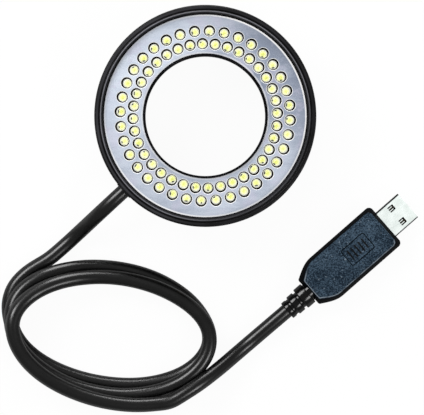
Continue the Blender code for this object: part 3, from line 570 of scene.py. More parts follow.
housing = turned(
    "housing",
    [
        (housing_radius, wall_foot, 0.0003),
        (wall_inside, wall_foot, 0.0001),
        (wall_inside, ledge_foot - 0.0009, 0.0002),
        (ledge_inside, ledge_foot, 0.0001),
        (ledge_inside, ledge_top, 0.0001),
        (wall_inside, ledge_top, 0.0001),
        (wall_inside, plate_top + 0.0002, 0.0001),
        (bead_radius - 0.00036, lip_top - 0.0006, 0.0003),
        (bead_radius - bead_half_width, lip_top, 0.00019),
        (bead_radius + bead_half_width, lip_top, 0.00019),
        (bead_radius + 0.00046, lip_top - 0.0007, 0.0002),
        (bead_radius + 0.00078, lip_top - 0.0007, 0.0002),
        (bead_radius + 0.00090, lip_top - 0.00034, 0.0002),
        (housing_radius - 0.00040, lip_top - 0.00036, 0.0003),
        (housing_radius, lip_top - 0.00090, 0.0003),
    ],
    anodised("housing black", True),
)
entry = outward(cord_azimuth, cord_height)
carve(housing, rod(entry_radius, wall_inside - 0.001, housing_radius + 0.001, 40, entry))
fitted(housing, "ring_light", "black_anodised", "outer_housing")

# Bush. A soft black grommet that lines the lead's hole and stands round it as a small lip. It was
# pushed in from outside, and it keeps the jacket off the metal edge.
bush_bore = cord_radius + 0.0002
bush_outside = cord_radius + 0.0007
bush_lip_radius = 0.0036
bush_face = housing_radius + 0.0002

bush_outline = softened(
    [
        (bush_bore, wall_inside - 0.0003, 0),
        (bush_outside, wall_inside - 0.0003, 0),
        (bush_outside, housing_radius + 0.0001, 0),
        (bush_lip_radius, housing_radius + 0.0001, 0.00003),
        (bush_lip_radius, bush_face, 0.00005),
        (bush_bore, bush_face, 0.00008),
    ]
)
rubber = moulded("rubber", (8, 8, 9), (18, 18, 19), 0.45, 2400, 0.00003)
bush = finished("bush", moved(spun(bush_outline, 40), entry), rubber)
fitted(bush, "ring_light", "rubber", "cable_bush")

# Rear cover. One turned disc with the collar that slips over the microscope's ring mount. Three
# tapped holes in the collar take the thumb screws, and three sunk ones take the cover's screws.
bore_radius = 0.0230
collar_radius = 0.0310
collar_height = 0.0080
floor_level = 0.0114
spigot_radius = 0.0388
sleeve_seat = 0.0249
thumb_azimuths = [math.radians(42.5 + 120 * k) for k in range(3)]
cover_screw_azimuths = [azimuth + math.radians(30) for azimuth in thumb_azimuths]
cover_screw_circle = 0.0408
cover_sink_radius = 0.0016
thread_hole_radius = 0.0021

plain_black = anodised("black anodised", False)
cover = turned(
    "cover",
    [
        (bore_radius, 0, 0.0004),
        (collar_radius, 0, 0.0005),
        (collar_radius, collar_height - 0.0008, 0.0001),
        (collar_radius - 0.0003, collar_height - 0.0008, 0.0001),
        (collar_radius - 0.0003, collar_height, 0.0001),
        (housing_radius, collar_height, 0.0004),
        (housing_radius, wall_foot - 0.0003, 0.0002),
        (spigot_radius, wall_foot - 0.0003, 0.0001),
        (spigot_radius, floor_level, 0.0002),
        (sleeve_seat, floor_level, 0.0001),
        (sleeve_seat, collar_height, 0.0001),
        (bore_radius, collar_height, 0.0001),
    ],
    plain_black,
)
thumb_spots = [outward(azimuth, collar_height / 2) for azimuth in thumb_azimuths]
drilled(cover, thread_hole_radius, (bore_radius - 0.001, collar_radius + 0.001), 32, thumb_spots)
cover_screw_spots = []
for azimuth in cover_screw_azimuths:
    turn = Matrix.Rotation(azimuth, 4, "Z")
    cover_screw_spots.append(turn @ Matrix.Translation((cover_screw_circle, 0, 0)))
sink_levels = (collar_height - 0.001, collar_height + 0.0012)
drilled(cover, cover_sink_radius, sink_levels, 32, cover_screw_spots)
fitted(cover, "ring_light", "black_anodised", "rear_cover")

# Cover screws. Three small steel cap screws with a hexagon socket, set in from the rear until
# their heads lie flush in the sunk holes.
cover_head_radius = 0.0014
cover_head_height = 0.0010
cover_shank_radius = 0.0008
cover_screw_end = collar_height + 0.0070
socket_radius = 0.0007


def steel_finish(name, dark, light, metallic=0.9):
    made = Finish(name, metallic=metallic)
    cloud = made.noise(made.place, 400, 3)
    lines = made.noise(made.stretched(made.place, (1, 1, 8)), 1500, 2)
    made.feed(
        base_color=made.mix(made.ramp(cloud, 0.35, 0.65), colour(*dark), colour(*light)),
        roughness=0.26 + 0.16 * lines,
    )
    made.relief(lines, 0.00001, 0.3)
    return made.material


cover_screw_outline = softened(
    [
        (0, collar_height, 0),
        (cover_head_radius, collar_height, 0.0002),
        (cover_head_radius, collar_height + cover_head_height - 0.0002, 0.0001),
        (cover_shank_radius, collar_height + cover_head_height - 0.0002, 0),
        (cover_shank_radius, cover_screw_end - 0.0003, 0.0001),
        (0, cover_screw_end, 0),
    ],
    3,
)
cover_screws = finished(
    "cover_screws",
    stamped(cover_screw_outline, 28, cover_screw_spots),
    steel_finish("screw steel", (150, 150, 153), (206, 206, 208)),
)
socket_levels = (collar_height - 0.001, collar_height + socket_radius)
drilled(cover_screws, socket_radius, socket_levels, 6, cover_screw_spots)
fitted(cover_screws, "ring_light", "screw_steel", "cover_screw_1", "cover_screw_2", "cover_screw_3")

# Thumb screws and their tips. Three brass screws with fluted heads, turned by hand in the collar
# until they grip the mount. Each pushes a white nylon tip ahead of it, so that nothing is marked.
thread_start = 0.0249
thread_crest = 0.0020
thread_root = 0.0017
thread_pitch = 0.0007
head_start = 0.0353
head_end = 0.0401
head_radius = 0.0036
flute_depth = 0.0003
flute_count = 18
stem_hole = 0.0011
stem_hole_end = 0.0264 + 0.0003
tip_start = 0.0231
tip_end = 0.0246
tip_radius = 0.0016
tip_stem_radius = 0.0008


def walled(rings):
    """A closed solid through rings of points that all have the same count."""
    bm = bmesh.new()
    rows = [[bm.verts.new(point) for point in ring] for ring in rings]
    for low, high in zip(rows, rows[1:]):
        for a, b, c, d in zip(low, low[1:] + low[:1], high[1:] + high[:1], high):
            bm.faces.new((a, b, c, d))
    bm.faces.new(rows[0])
    bm.faces.new(rows[-1])
    return bm


def fluted_ring(height, radius, depth):
    steps = 6 * flute_count
    ring = []
    for k in range(steps):
        angle = 2 * math.pi * k / steps
        reach = radius - depth * (0.5 - 0.5 * math.cos(angle * flute_count)) ** 2
        ring.append((reach * math.cos(angle), reach * math.sin(angle), height))
    return ring


head_levels = [
    (head_start, head_radius - 0.0006, 0),
    (head_start + 0.0003, head_radius - 0.0002, 0),
    (head_start + 0.0005, head_radius, flute_depth),
    (head_end - 0.0006, head_radius, flute_depth),
    (head_end - 0.0003, head_radius - 0.0003, 0),
    (head_end, head_radius - 0.0006, 0),
    (head_end, head_radius - 0.0014, 0),
    (head_end - 0.0002, head_radius - 0.0016, 0),
]
thread_outline = [(0, stem_hole_end), (stem_hole, stem_hole_end), (stem_hole, thread_start)]
thread_outline.append((thread_root, thread_start))
crest = thread_start + thread_pitch / 2
while crest < head_start - thread_pitch:
    thread_outline.append((thread_crest, crest - thread_pitch * 0.08))
    thread_outline.append((thread_crest, crest + thread_pitch * 0.08))
    thread_outline.append((thread_root, crest + thread_pitch / 2))
    crest += thread_pitch
thread_outline += [(thread_root, head_start + 0.0004), (0, head_start + 0.0004)]
tip_outline = softened(
    [
        (0, tip_start, 0),
        (tip_radius, tip_start, 0.0004),
        (tip_radius, tip_end, 0.0001),
        (tip_stem_radius, tip_end, 0),
        (tip_stem_radius, tip_end + 0.0015, 0.0002),
        (0, tip_end + 0.0015, 0),
    ]
)
brass = steel_finish("brass", (176, 140, 72), (224, 190, 116), 0.85)
nylon = moulded("nylon", (214, 211, 198), (236, 234, 224), 0.45, 1500, 0.00002)
for letter, spot in zip("abc", thumb_spots):
    head = walled([fluted_ring(*row) for row in head_levels])
    whole = gather([head, spun(thread_outline, 32, False)])
    screw = finished("screw_" + letter, moved(whole, spot), brass, 50)
    fitted(screw, "screw_" + letter, "brass", "thumb_screw_" + letter)
    tip = finished("tip_" + letter, moved(spun(tip_outline, 28, False), spot), nylon)
    fitted(tip, "tip_" + letter, "nylon", "screw_tip_" + letter)

# Bore sleeve. A thin black tube that lines the bore and hides the lamps' edge from the side. It
# stands on the cover, and a step on its foot carries the plate's inner edge.
sleeve_outside = 0.0236
sleeve_foot_outside = 0.0246
sleeve_top = 0.0269

sleeve = turned(
    "sleeve",
    [
        (bore_radius, collar_height + 0.0003, 0.0001),
        (sleeve_foot_outside, collar_height + 0.0003, 0.0001),
        (sleeve_foot_outside, plate_level - 0.0003, 0.0001),
        (sleeve_outside, plate_level - 0.0003, 0.0001),
        (sleeve_outside, sleeve_top, 0.00025),
        (bore_radius, sleeve_top, 0.00025),
    ],
    anodised("matt black", False, 0.8),
)
fitted(sleeve, "ring_light", "black_anodised", "bore_sleeve")

# Reflector plate. A flat ring of silvered metal. Every lamp stands in a drilled hole, whose mouth
# is countersunk. The cut edges show as thin pale rings, bright metal with a painted highlight. The
# face is painted lighter on the left and darker toward the right as light falls on it, and the
# holes' walls are painted dark as shade.
plate_inside = 0.0239
plate_radius = 0.0388
plate_edge = 0.0007
lamp_count = 36
inner_row_radius = 0.0277
outer_row_radius = 0.0326
inner_row_start = math.radians(2.2)
lamp_hole_radius = 0.00220
lamp_hole_chamfer = 0.00020

lamp_rows = [(inner_row_radius, inner_row_start), (outer_row_radius, inner_row_start + math.pi / lamp_count)]
lamp_spots = []
for row_radius, start in lamp_rows:
    for k in range(lamp_count):
        turn = Matrix.Rotation(start + 2 * math.pi * k / lamp_count, 4, "Z")
        lamp_spots.append(turn @ Matrix.Translation((row_radius, 0, 0)))


def silver_finish():
    made = Finish("silver plate", metallic=0.05, specular_ior_level=0.3)
    radius = made.radius()
    streaks = made.noise(made.stretched(made.place, (1, 5, 1)), 70, 4, 0.6)
    cloud = made.noise(made.place, 60, 3)
    grain = made.noise(made.place, 2200, 2)
    height = made.axis("Z")
    # The cut edges and chamfers are painted near white: bright metal with a painted highlight.
    cut_edge_and_highlight = 1 - made.ramp(height, plate_top - 0.00003, plate_top - 0.000005)
    # Painted shade: the holes' walls are painted near black.
    painted_hole_wall_shade = 1 - made.ramp(height, plate_top - lamp_hole_chamfer - 0.0002, plate_top - lamp_hole_chamfer)
    inner_rim = 1 - made.ramp(radius, plate_inside + plate_edge * 0.7, plate_inside + plate_edge)
    outer_rim = made.ramp(radius, plate_radius - plate_edge, plate_radius - plate_edge * 0.7)
    across = made.axis("X") / radius
    up = made.axis("Y") / radius
    # Painted light and shade: the face is lighter on the left and darker toward the right.
    painted_side_shade = made.ramp(0.5 + 0.27 * across + 0.44 * across * up, 0, 1)
    # The rims at both edges are painted near white too, the outer one brighter where the face is darker.
    bright = (cut_edge_and_highlight + (0.2 + 0.5 * streaks) * inner_rim + (0.2 + painted_side_shade) * outer_rim).clamped()
    light = made.mix(painted_side_shade, colour(212, 220, 232), colour(164, 172, 187))
    dark = made.mix(painted_side_shade, colour(196, 205, 219), colour(130, 139, 157))
    tone = made.ramp(0.4 * streaks + 0.4 * cloud + 0.2 * grain, 0.40, 0.60)
    lilac = 0.4 * made.ramp(made.noise(made.place, 130, 4, 0.7), 0.50, 0.64)
    face = made.mix(lilac, made.mix(tone, dark, light), colour(194, 190, 210))
    face = made.mix(bright, face, colour(254, 254, 255))
    made.feed(
        base_color=made.mix(painted_hole_wall_shade, face, colour(16, 17, 18)),
        roughness=0.38 + 0.12 * grain - 0.10 * bright,
    )
    made.relief(grain, 0.00001, 0.25)
    return made.material


plate = turned(
    "plate",
    [
        (plate_inside, plate_level, 0),
        (plate_radius, plate_level, 0),
        (plate_radius, plate_top, 0.0001),
        (plate_inside, plate_top, 0.0001),
    ],
    silver_finish(),
)
hole_outline = [
    (0, plate_level - 0.001),
    (lamp_hole_radius, plate_level - 0.001),
    (lamp_hole_radius, plate_top - lamp_hole_chamfer),
    (lamp_hole_radius + 2 * lamp_hole_chamfer, plate_top + lamp_hole_chamfer),
    (0, plate_top + lamp_hole_chamfer),
]
carve(plate, stamped(hole_outline, 28, lamp_spots))
fitted(plate, "ring_light", "silver_plate", "reflector_plate")

# Lamps. Seventy-two white light diodes in clear cast resin, each with a yellow phosphor dome in a
# small silver cup. On about seven in ten a short dark arc of painted shade lies where the gap to the
# second post is in shadow. The lens rim has a painted glow, and the lens foot is painted dark as
# shade. They lean and shift a little inward, and they are soldered to the board.
lamp_foot = 0.0205
lens_radius = 0.00162
flange_radius = 0.00195
lens_shoulder = lamp_foot + 0.0057 - lens_radius
phosphor_radius = 0.00132
cup_top = 0.02455
gap_shade_radius = 0.00110
gap_shade_half_width = 0.00027
gap_shade_level = cup_top + 0.00052
gap_shade_rise = 0.0002
gap_shade_share = 0.7
lamp_shift = 0.0001
random.seed(7)


def reached(bm, radius, chance):
    """Keep on each point how far it lies from the lamp's axis, and the lamp's own chance value."""
    reach = bm.verts.layers.float.new("reach")
    luck = bm.verts.layers.float.new("luck")
    for vert in bm.verts:
        vert[reach] = math.hypot(*vert.co.xy) / radius
        vert[luck] = chance
    return bm


def lens_finish():
    made = Finish("clear resin", roughness=0.07, specular_ior_level=0.5, emission_strength=1.0)
    cloud = made.noise(made.place, 600, 2)
    reach = made.stored("reach")
    rim = made.ramp(reach, 0.74, 0.92)
    # Painted shade: the flange at the lens foot is painted near black, for the shade deep in the hole.
    foot = made.ramp(reach, 1.01, 1.06)
    clear = made.mix(cloud, colour(244, 246, 232), colour(255, 255, 250))
    # Painted light: the pale rim glows by an emission colour, though the lamps are not lit.
    made.feed(
        base_color=made.mix(foot, clear, colour(12, 12, 12)),
        alpha=(0.04 + 0.08 * cloud + 0.80 * rim).clamped(),
        emission_color=made.mix(rim * (1 - foot), colour(0, 0, 0), colour(178, 178, 168)),
    )
    return made.material


def phosphor_finish():
    made = Finish("phosphor", roughness=0.5, coat_weight=0.8, coat_roughness=0.06)
    cloud = made.noise(made.place, 700, 3, 0.6)
    luck = made.stored("luck")
    middle = 1 - made.ramp(made.stored("reach"), 0.15, 0.95)
    pale = made.mix(luck, colour(252, 254, 204), colour(248, 251, 176))
    deep = made.mix(luck, colour(238, 243, 138), colour(226, 232, 100))
    spotty = made.ramp(0.6 * middle + 0.4 * cloud, 0.25, 0.75)
    made.feed(base_color=made.mix(spotty, pale, deep))
    made.relief(cloud, 0.00005, 0.5)
    return made.material


lens_outline = [
    (0, lamp_foot),
    (flange_radius, lamp_foot),
    (flange_radius, lamp_foot + 0.0009),
    (lens_radius, lamp_foot + 0.0010),
]
for k in range(7):
    angle = math.pi / 2 * k / 6
    lens_outline.append((lens_radius * math.cos(angle), lens_shoulder + lens_radius * math.sin(angle)))
phosphor_outline = [(0, cup_top - 0.0008), (phosphor_radius * 0.8, cup_top - 0.0008)]
for k in range(5):
    angle = math.pi / 2 * k / 4
    phosphor_outline.append((phosphor_radius * math.cos(angle), cup_top + 0.0007 * math.sin(angle)))
cup_outline = softened(
    [
        (phosphor_radius * 0.6, lamp_foot + 0.0009, 0),
        (phosphor_radius + 0.00022, lamp_foot + 0.0009, 0),
        (phosphor_radius + 0.00022, cup_top + 0.0001, 0.00008),
        (phosphor_radius + 0.00002, cup_top + 0.0001, 0.00008),
        (phosphor_radius * 0.8, cup_top - 0.0010, 0),
    ],
    2,
)


def gap_shade_arc(turn, spread):
    """A short dark arc of painted shade that lies on the phosphor near its edge, tapered at both ends."""
    rings = []
    steps = 6
    for k in range(steps + 1):
        angle = turn + spread * (k / steps - 0.5)
        across = gap_shade_half_width * (0.25 + math.sin(math.pi * k / steps))
        ring = []
        for side, up in ((-1, 0), (1, 0), (0.6, gap_shade_rise), (-0.6, gap_shade_rise)):
            reach = gap_shade_radius + side * across
            ring.append((reach * math.cos(angle), reach * math.sin(angle), gap_shade_level + up))
        rings.append(ring)
    return walled(rings)


lenses = []
phosphors = []
cups = []
gap_shade_arcs = []
for spot in lamp_spots:
    lean = Matrix.Rotation(math.radians(random.uniform(-1.5, 1.5)), 4, "X")
    lean @= Matrix.Rotation(math.radians(random.uniform(-4.2, -1.2)), 4, "Y")
    foot = Matrix.Translation((0, 0, lamp_foot))
    inward = Matrix.Translation((-lamp_shift, 0, 0))
    stood = spot @ inward @ foot @ lean @ foot.inverted()
    chance = random.random()
    facing = math.radians(random.uniform(95, 290)) - spot.to_euler().z
    lenses.append(moved(reached(spun(lens_outline, 20, False), lens_radius, chance), stood))
    phosphors.append(moved(reached(spun(phosphor_outline, 16, False), phosphor_radius, chance), stood))
    cups.append(moved(spun(cup_outline, 16), stood))
    if random.random() < gap_shade_share:
        gap_shade_arcs.append(moved(gap_shade_arc(facing, math.radians(random.uniform(35, 75))), stood))
cup_finish = steel_finish("lamp cup", (206, 206, 190), (240, 240, 230), 0.4)
# Painted shade: a near-black finish for the arcs that stand for the shadowed gap to the second post.
gap_shade_finish = moulded("painted gap shade", (10, 11, 8), (28, 29, 20), 0.5, 900, 0.00002)
for name, parts, finish, sharp, nodes in (
    ("lamp_lenses", lenses, lens_finish(), 50, ("inner_row_leds", "outer_row_leds")),
    ("lamp_phosphors", phosphors, phosphor_finish(), 50, ()),
    ("lamp_cups", cups, cup_finish, 50, ()),
    ("lamp_gap_shades", gap_shade_arcs, gap_shade_finish, 35, ()),
):
    fitted(finished(name, gather(parts), finish, sharp), "ring_light", "lamp_lens", *nodes)

# Plug grip. A moulded cover, glossy black with bevelled sides, whose slate grey top is finely
# textured. The top has a sunk panel with five plain grip ribs. The metal nose is moulded in. A
# painted highlight runs along the top's edge on the lower-right side and at the rear.
plug_length = 0.0395
plug_width = 0.0192
plug_rear_width = 0.0130
plug_thickness = 0.0092
plug_taper = 0.0092
plug_bevel = 0.0017
plug_bevel_height = 0.0022
front_corner = 0.0018
rear_corner = 0.0010
panel_length = 0.0116
panel_width = 0.0077
panel_corner = 0.0010
panel_centre = plug_length - 0.0144
panel_depth = 0.0003
panel_moat = 0.00035
shell_width = 0.0120
shell_thickness = 0.0045
shell_embed = 0.0070
relief_bore = 0.0039
plug_spot = Matrix.Translation(plug_place) @ Matrix.Rotation(plug_heading, 4, "Z")
plug_axis = plug_spot @ Matrix.Translation((0, 0, plug_middle)) @ Matrix.Rotation(math.pi / 2, 4, "Y")


def plug_ring(height, inset):
    """The cover's outline at one height, from the rear middle round and back."""
    rear = plug_rear_width / 2 - inset
    full = plug_width / 2 - inset
    side = []
    for k in range(7):
        angle = math.radians(180 - 75 * k / 6)
        across = rear - rear_corner + rear_corner * math.sin(angle)
        side.append((inset + rear_corner + rear_corner * math.cos(angle), across))
    reach = side[-1]
    for k in range(1, 13):
        share = k / 12
        x = reach[0] + (plug_taper - reach[0]) * share
        side.append((x, reach[1] + (full - reach[1]) * math.sin(share * math.pi / 2)))
    for k in range(7):
        angle = math.radians(90 - 90 * k / 6)
        x = plug_length - inset - front_corner + front_corner * math.cos(angle)
        side.append((x, full - front_corner + front_corner * math.sin(angle)))
    return [(x, y, height) for x, y in side + [(x, -y) for x, y in reversed(side)]]


def rounded(length, width, corner, steps=5):
    """Outline of a rectangle about the origin with round corners."""
    points = []
    for quarter in range(4):
        sign_x = 1 if quarter in (0, 3) else -1
        sign_y = 1 if quarter in (0, 1) else -1
        middle = (sign_x * (length / 2 - corner), sign_y * (width / 2 - corner))
        for step in range(steps + 1):
            angle = math.pi / 2 * (quarter + step / steps)
            points.append((middle[0] + corner * math.cos(angle), middle[1] + corner * math.sin(angle)))
    return points


def slab(outline, levels, centre=(0, 0)):
    """Stack a flat outline. Each level is a height and the share of the outline's size there."""
    x, y = centre
    return walled([[(x + share * a, y + share * b, height) for a, b in outline] for height, share in levels])


def grip_finish():
    made = Finish("plug cover", specular_ior_level=0.06)
    height = made.axis("Z")
    top = made.ramp(height, plug_thickness - 0.00052, plug_thickness - 0.00044)
    grain = made.noise(made.place, 2100, 3, 0.7)
    cloud = made.noise(made.place, 120, 3)
    tone = made.ramp(0.8 * grain + 0.2 * cloud, 0.43, 0.61)
    slate = made.mix(tone, colour(16, 29, 41), colour(66, 84, 100))
    specks = made.ramp(made.noise(made.place, 900, 2), 0.66, 0.74)
    slate = made.mix(specks * 0.7, slate, colour(118, 132, 144))
    black = made.mix(cloud, colour(3, 4, 6), colour(8, 9, 12))
    local = made.in_plug()
    # Painted highlight: a pale line along the top's edge on the lower-right side and at the rear.
    low_side = 1 - made.ramp(made.axis("Y", local), -0.0068, -0.0060)
    rear = 1 - made.ramp(made.axis("X", local), 0.0024, 0.0060)
    edge = made.ramp(height, plug_thickness - 0.00030, plug_thickness - 0.00022)
    edge *= 1 - made.ramp(height, plug_thickness - 0.00004, plug_thickness - 0.00001)
    bright_edge_and_painted_highlight = edge * (low_side + rear).clamped() * made.ramp(cloud, 0.30, 0.50)
    made.feed(
        base_color=made.mix(bright_edge_and_painted_highlight, made.mix(top, black, slate), colour(128, 136, 144)),
        roughness=0.20 + 0.06 * cloud + 0.36 * top,
    )
    made.relief(grain * top, 0.00006, 0.6)
    return made.material


grip_levels = [
    (0, plug_bevel),
    (plug_bevel_height, 0.00005),
    (plug_bevel_height + 0.0002, 0),
    (plug_thickness - plug_bevel_height - 0.0002, 0),
    (plug_thickness - plug_bevel_height, 0.00005),
    (plug_thickness - 0.00024, plug_bevel - 0.00016),
    (plug_thickness - 0.00008, plug_bevel - 0.00003),
    (plug_thickness, plug_bevel + 0.00012),
]
grip = finished("plug_grip", walled([plug_ring(*row) for row in grip_levels]), grip_finish(), 30)
floor_height = plug_thickness - panel_depth
panel_outline = rounded(panel_length, panel_width, panel_corner)
inner_size = (panel_length - 2 * panel_moat, panel_width - 2 * panel_moat)
inner_outline = rounded(*inner_size, panel_corner - panel_moat)
panel_levels = [(floor_height - 0.0003, 0.99), (plug_thickness + 0.0002, 1)]
carve(grip, slab(panel_outline, panel_levels, (panel_centre, 0)))
island = slab(inner_outline, [(floor_height - 0.0005, 1), (floor_height - 0.00006, 1), (floor_height, 0.985)])
lying = Matrix.Translation((0, 0, plug_middle)) @ Matrix.Rotation(math.pi / 2, 4, "Y")
upright = lying @ Matrix.Rotation(math.pi / 2, 4, "Z")
pocket = slab(
    rounded(shell_width + 0.0004, shell_thickness + 0.0004, 0.0006),
    [(plug_length - shell_embed - 0.0003, 1), (plug_length + 0.001, 1)],
)
carve(grip, moved(pocket, upright), 30)
carve(grip, rod(relief_bore, -0.001, 0.0031, 32, lying), 30)
carve(grip, rod(cord_radius + 0.0002, 0.0020, cord_in_plug + 0.0003, 32, lying), 30)
bmesh.ops.recalc_face_normals(island, faces=island.faces)
joined(grip, [moved(island, Matrix.Translation((panel_centre, 0, 0)))], 30)
grip.data.transform(plug_spot)
fitted(grip, "ring_light", "plug_cover", "plug_cover")

# Grip ribs. Five plain glossy bars across the sunk panel, moulded through from the black core.
rib_count = 5
rib_pitch = 0.0018
rib_levels = [(floor_height - 0.0001, 1), (floor_height + 0.00016, 1), (floor_height + 0.00026, 0.8)]
ribs = []
for k in range(rib_count):
    middle = (panel_centre + (k - (rib_count - 1) / 2) * rib_pitch, 0)
    ribs.append(moved(slab(rounded(0.0006, 0.0044, 0.00028), rib_levels, middle), plug_spot))
core_black = moulded("glossy core", (4, 5, 6), (12, 13, 15), 0.20, 1800, 0.00001)
grip_ribs = finished("plug_ribs", gather(ribs), core_black)
fitted(grip_ribs, "ring_light", "plug_cover")

# Strain relief. A soft glossy sleeve with three ribs that get shorter and smaller toward the
# lead, so that it bends more and more easily. Its root is held in the plug cover's rear.
relief_root_radius = 0.0037
relief_root_length = 0.0028
relief_neck_radius = 0.0034
relief_rib_radius = 0.0045
relief_rib_step = 0.0004
relief_rib_length = 0.0038
relief_rib_shortening = 0.0009
relief_groove = 0.0010
relief_ribs = 3

relief_corners = [
    (cord_radius + 0.0002, relief_root_length, 0),
    (relief_root_radius, relief_root_length, 0.0002),
    (relief_root_radius, -0.0003, 0),
]
start = -0.0003
for k in range(relief_ribs):
    radius = relief_rib_radius - k * relief_rib_step
    end = start - relief_rib_length + k * relief_rib_shortening
    relief_corners += [(radius, start, 0.0004), (radius, end, 0.0005)]
    if k < relief_ribs - 1:
        start = end - relief_groove
        relief_corners += [(relief_neck_radius, end, 0.0002), (relief_neck_radius, start, 0.0002)]
relief_corners.append((cord_radius + 0.0002, end, 0.0001))
relief = finished(
    "plug_sleeve",
    moved(spun(softened(relief_corners), 48), plug_axis),
    moulded("glossy rubber", (4, 4, 5), (11, 11, 12), 0.15, 1600, 0.00002),
)
fitted(relief, "ring_light", "rubber", "plug_strain_relief")

# Metal nose of the plug. A shell rolled from thin bright sheet, with its seam underneath. Each
# window, above and below, has two spring fingers cut from the same sheet. The bent side edges and
# the inside are painted dark as shade, the left edge darkest.
shell_wall = 0.0003
shell_show = 0.0112
window_length = 0.0025
window_width = 0.0023
window_centre = plug_length + 0.0057
window_spread = 0.0065
finger_width = 0.00032
finger_length = 0.0019
finger_corner = 0.00015
shell_end = plug_length + shell_show


def shell_finish():
    made = Finish("plug shell", metallic=0.1)
    local = made.in_plug()
    cloud = made.noise(local, 260, 3)
    drawn = made.noise(made.stretched(local, (1, 12, 12)), 500, 3)
    across = made.axis("Y", local)
    # Painted shade: the bent side edges are painted dark, the left one darker than the right.
    left = made.ramp(across, shell_width / 2 - 0.00075, shell_width / 2 - 0.00060)
    right = made.ramp(-1 * across, shell_width / 2 - 0.00050, shell_width / 2 - 0.00038)
    tone = made.ramp(0.6 * cloud + 0.4 * drawn, 0.36, 0.64)
    face = made.mix(tone, colour(222, 231, 227), colour(244, 251, 248))
    level = abs(made.axis("Z") - plug_middle)
    bend = made.ramp(level, shell_thickness / 2 - 0.0006, shell_thickness / 2 - 0.0004)
    # Painted shade: the inside of the shell is painted dark, though its metal is bright.
    deep = 1 - made.ramp(level, shell_thickness / 2 - shell_wall, shell_thickness / 2 - 0.5 * shell_wall)
    deep *= 1 - made.ramp(abs(across), shell_width / 2 - 0.8 * shell_wall, shell_width / 2 - 0.4 * shell_wall)
    face = made.mix(deep, face, colour(20, 22, 22))
    sheet_with_painted_shade = made.mix(left * bend, made.mix(right * bend, face, colour(26, 28, 28)), colour(8, 9, 10))
    made.feed(base_color=sheet_with_painted_shade, roughness=0.22 + 0.10 * drawn)
    made.relief(drawn, 0.00001, 0.25)
    return made.material


shell_levels = [(plug_length - shell_embed, 1), (shell_end - 0.0003, 1), (shell_end, 0.985)]
shell_body = slab(rounded(shell_width, shell_thickness, 0.0005), shell_levels)
nose = finished("plug_nose", moved(shell_body, upright), shell_finish())
hollow_outline = rounded(shell_width - 2 * shell_wall, shell_thickness - 2 * shell_wall, 0.0003)
hollow = slab(hollow_outline, [(plug_length - shell_embed - 0.001, 1), (shell_end + 0.001, 1)])
carve(nose, moved(hollow, upright))
cuts = []
fingers = []
for side in (-1, 1):
    middle = (window_centre, side * window_spread / 2)
    window = rounded(window_length, window_width, 0.0002, 2)
    cuts.append(slab(window, [(-0.001, 1), (plug_thickness, 1)], middle))
    for face in (-1, 1):
        high = plug_middle + face * (shell_thickness / 2 - 0.00004)
        low = plug_middle + face * (shell_thickness / 2 - shell_wall)
        for place in (-0.5, 0.5):
            root = window_centre - window_length / 2 + finger_length / 2 - 0.0001
            spot = (root, middle[1] + place * window_width * 0.42)
            shape = rounded(finger_length, finger_width, finger_corner, 3)
            fingers.append(slab(shape, [(min(low, high), 1), (max(low, high), 1)], spot))
seam_outline = rounded(shell_embed + shell_show + 0.002, 0.00014, 0.00005, 1)
shell_bottom = plug_middle - shell_thickness / 2
seam_levels = [(shell_bottom - 0.001, 1), (shell_bottom + shell_wall + 0.0002, 1)]
cuts.append(slab(seam_outline, seam_levels, (plug_length + (shell_show - shell_embed) / 2, 0)))
carve(nose, gather(cuts))
joined(nose, fingers, 35, aligned=True)
nose.data.transform(plug_spot)
fitted(nose, "ring_light", "plug_shell", "plug_shell")
sum((q - p).length for p, q in zip(cord_line, cord_line[1:]))

# Pieces inside, kept as the frame has them. The lamp board with its resistors, spacers and
# screws, the tie and the wires in the ring, and the insulator, contacts and wires in the plug.
board_black = moulded("lamp board", (7, 9, 8), (15, 18, 16), 0.45, 700, 0.00002)
resistor_black = moulded("resistor", (20, 20, 22), (40, 40, 42), 0.45, 900, 0.00001)
insulator = moulded("insulator", (9, 9, 10), (20, 20, 21), 0.55, 1200, 0.00001)
# Painted shade: the contacts' gold is painted dark brown, as they lie in shade inside the nose.
shaded_contact_gold = steel_finish("contact gold in painted shade", (60, 46, 24), (90, 70, 38), 0.8)
wire_red = moulded("red wire", (150, 20, 18), (186, 34, 28), 0.35, 1600, 0.00001)
wire_black = moulded("black wire", (14, 14, 15), (28, 28, 30), 0.35, 1600, 0.00001)
inside_finishes = {
    "led_board": board_black,
    "cable_tie": nylon,
    "red_wire": wire_red,
    "black_wire": wire_black,
    "plug_insulator": insulator,
    "plug_red_wire": wire_red,
    "plug_black_wire": wire_black,
}
board_steel = steel_finish("board screw steel", (170, 170, 172), (214, 214, 216))
for k in range(1, 4):
    inside_finishes[f"board_spacer_{k}"] = brass
    inside_finishes[f"board_screw_{k}"] = board_steel
for k in range(1, 7):
    inside_finishes[f"led_resistor_{k}"] = resistor_black
for k in range(1, 5):
    inside_finishes[f"plug_contact_{k}"] = shaded_contact_gold
for node, finish in inside_finishes.items():
    for held in bpy.data.objects[node].material_slots:
        held.material = finish

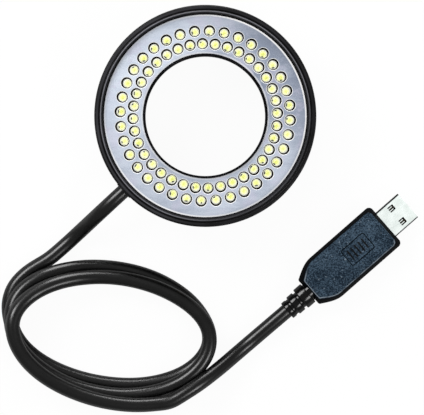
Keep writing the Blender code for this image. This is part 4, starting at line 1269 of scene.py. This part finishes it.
# Stage and light. A white table, a white surround and three soft lamps. The camera sees the table
# at full white, apart from a share that still takes the object's shadow. Glossy black surfaces
# mirror less of the table and the surround than a bare studio would show.
shadow_share = 0.05

floor_mesh = bpy.data.meshes.new("table")
floor_bm = bmesh.new()
bmesh.ops.create_grid(floor_bm, x_segments=1, y_segments=1, size=6)
floor_bm.to_mesh(floor_mesh)
floor_bm.free()
floor = bpy.data.objects.new("table", floor_mesh)
floor.location.z = -0.0001
scene.collection.objects.link(floor)
table = Finish("white table", roughness=0.9, base_color=(0.9, 0.9, 0.9, 1))
seen = table.node("LightPath", output="Is Camera Ray")
glow = table.node("Emission", {}, {"Color": (1, 1, 1, 1), "Strength": 1.0})
plain = Wire(table.tree, table.shader.outputs[0])
mirrored = table.node("LightPath", output="Is Glossy Ray")
dim = table.node("Emission", {}, {"Color": (1, 1, 1, 1), "Strength": 0.1})
plain = table.node("MixShader", {}, {0: mirrored * 0.6, 1: plain, 2: dim})
surface = table.node("MixShader", {}, {0: seen * (1 - shadow_share), 1: plain, 2: glow})
give(table.tree, table.tree.nodes["Material Output"].inputs["Surface"], surface)
floor_mesh.materials.append(table.material)

world = bpy.data.worlds.new("studio")
scene.world = world
world.use_nodes = True
sky = Nodes(world.node_tree)
strength = 0.62 + 0.38 * sky.node("LightPath", output="Is Camera Ray")
strength -= 0.44 * sky.node("LightPath", output="Is Glossy Ray")
background = world.node_tree.nodes["Background"]
background.inputs["Color"].default_value = (1, 1, 1, 1)
give(world.node_tree, background.inputs["Strength"], strength)


def soft_light(name, place, size, power):
    data = bpy.data.lights.new(name, "AREA")
    data.shape = "DISK"
    data.size = size
    data.energy = power
    made = bpy.data.objects.new(name, data)
    made.location = place
    aim = Vector((0, -0.03, 0.01)) - Vector(place)
    made.rotation_mode = "QUATERNION"
    made.rotation_quaternion = aim.to_track_quat("-Z", "Y")
    scene.collection.objects.link(made)


soft_light("key", (-0.55, 0.45, 0.75), 0.5, 5.0)
soft_light("top", (0.0, 0.8, 0.25), 0.5, 4.0)
soft_light("fill", (0.6, -0.5, 0.8), 0.4, 2.6)
scene.view_settings.view_transform = "Standard"
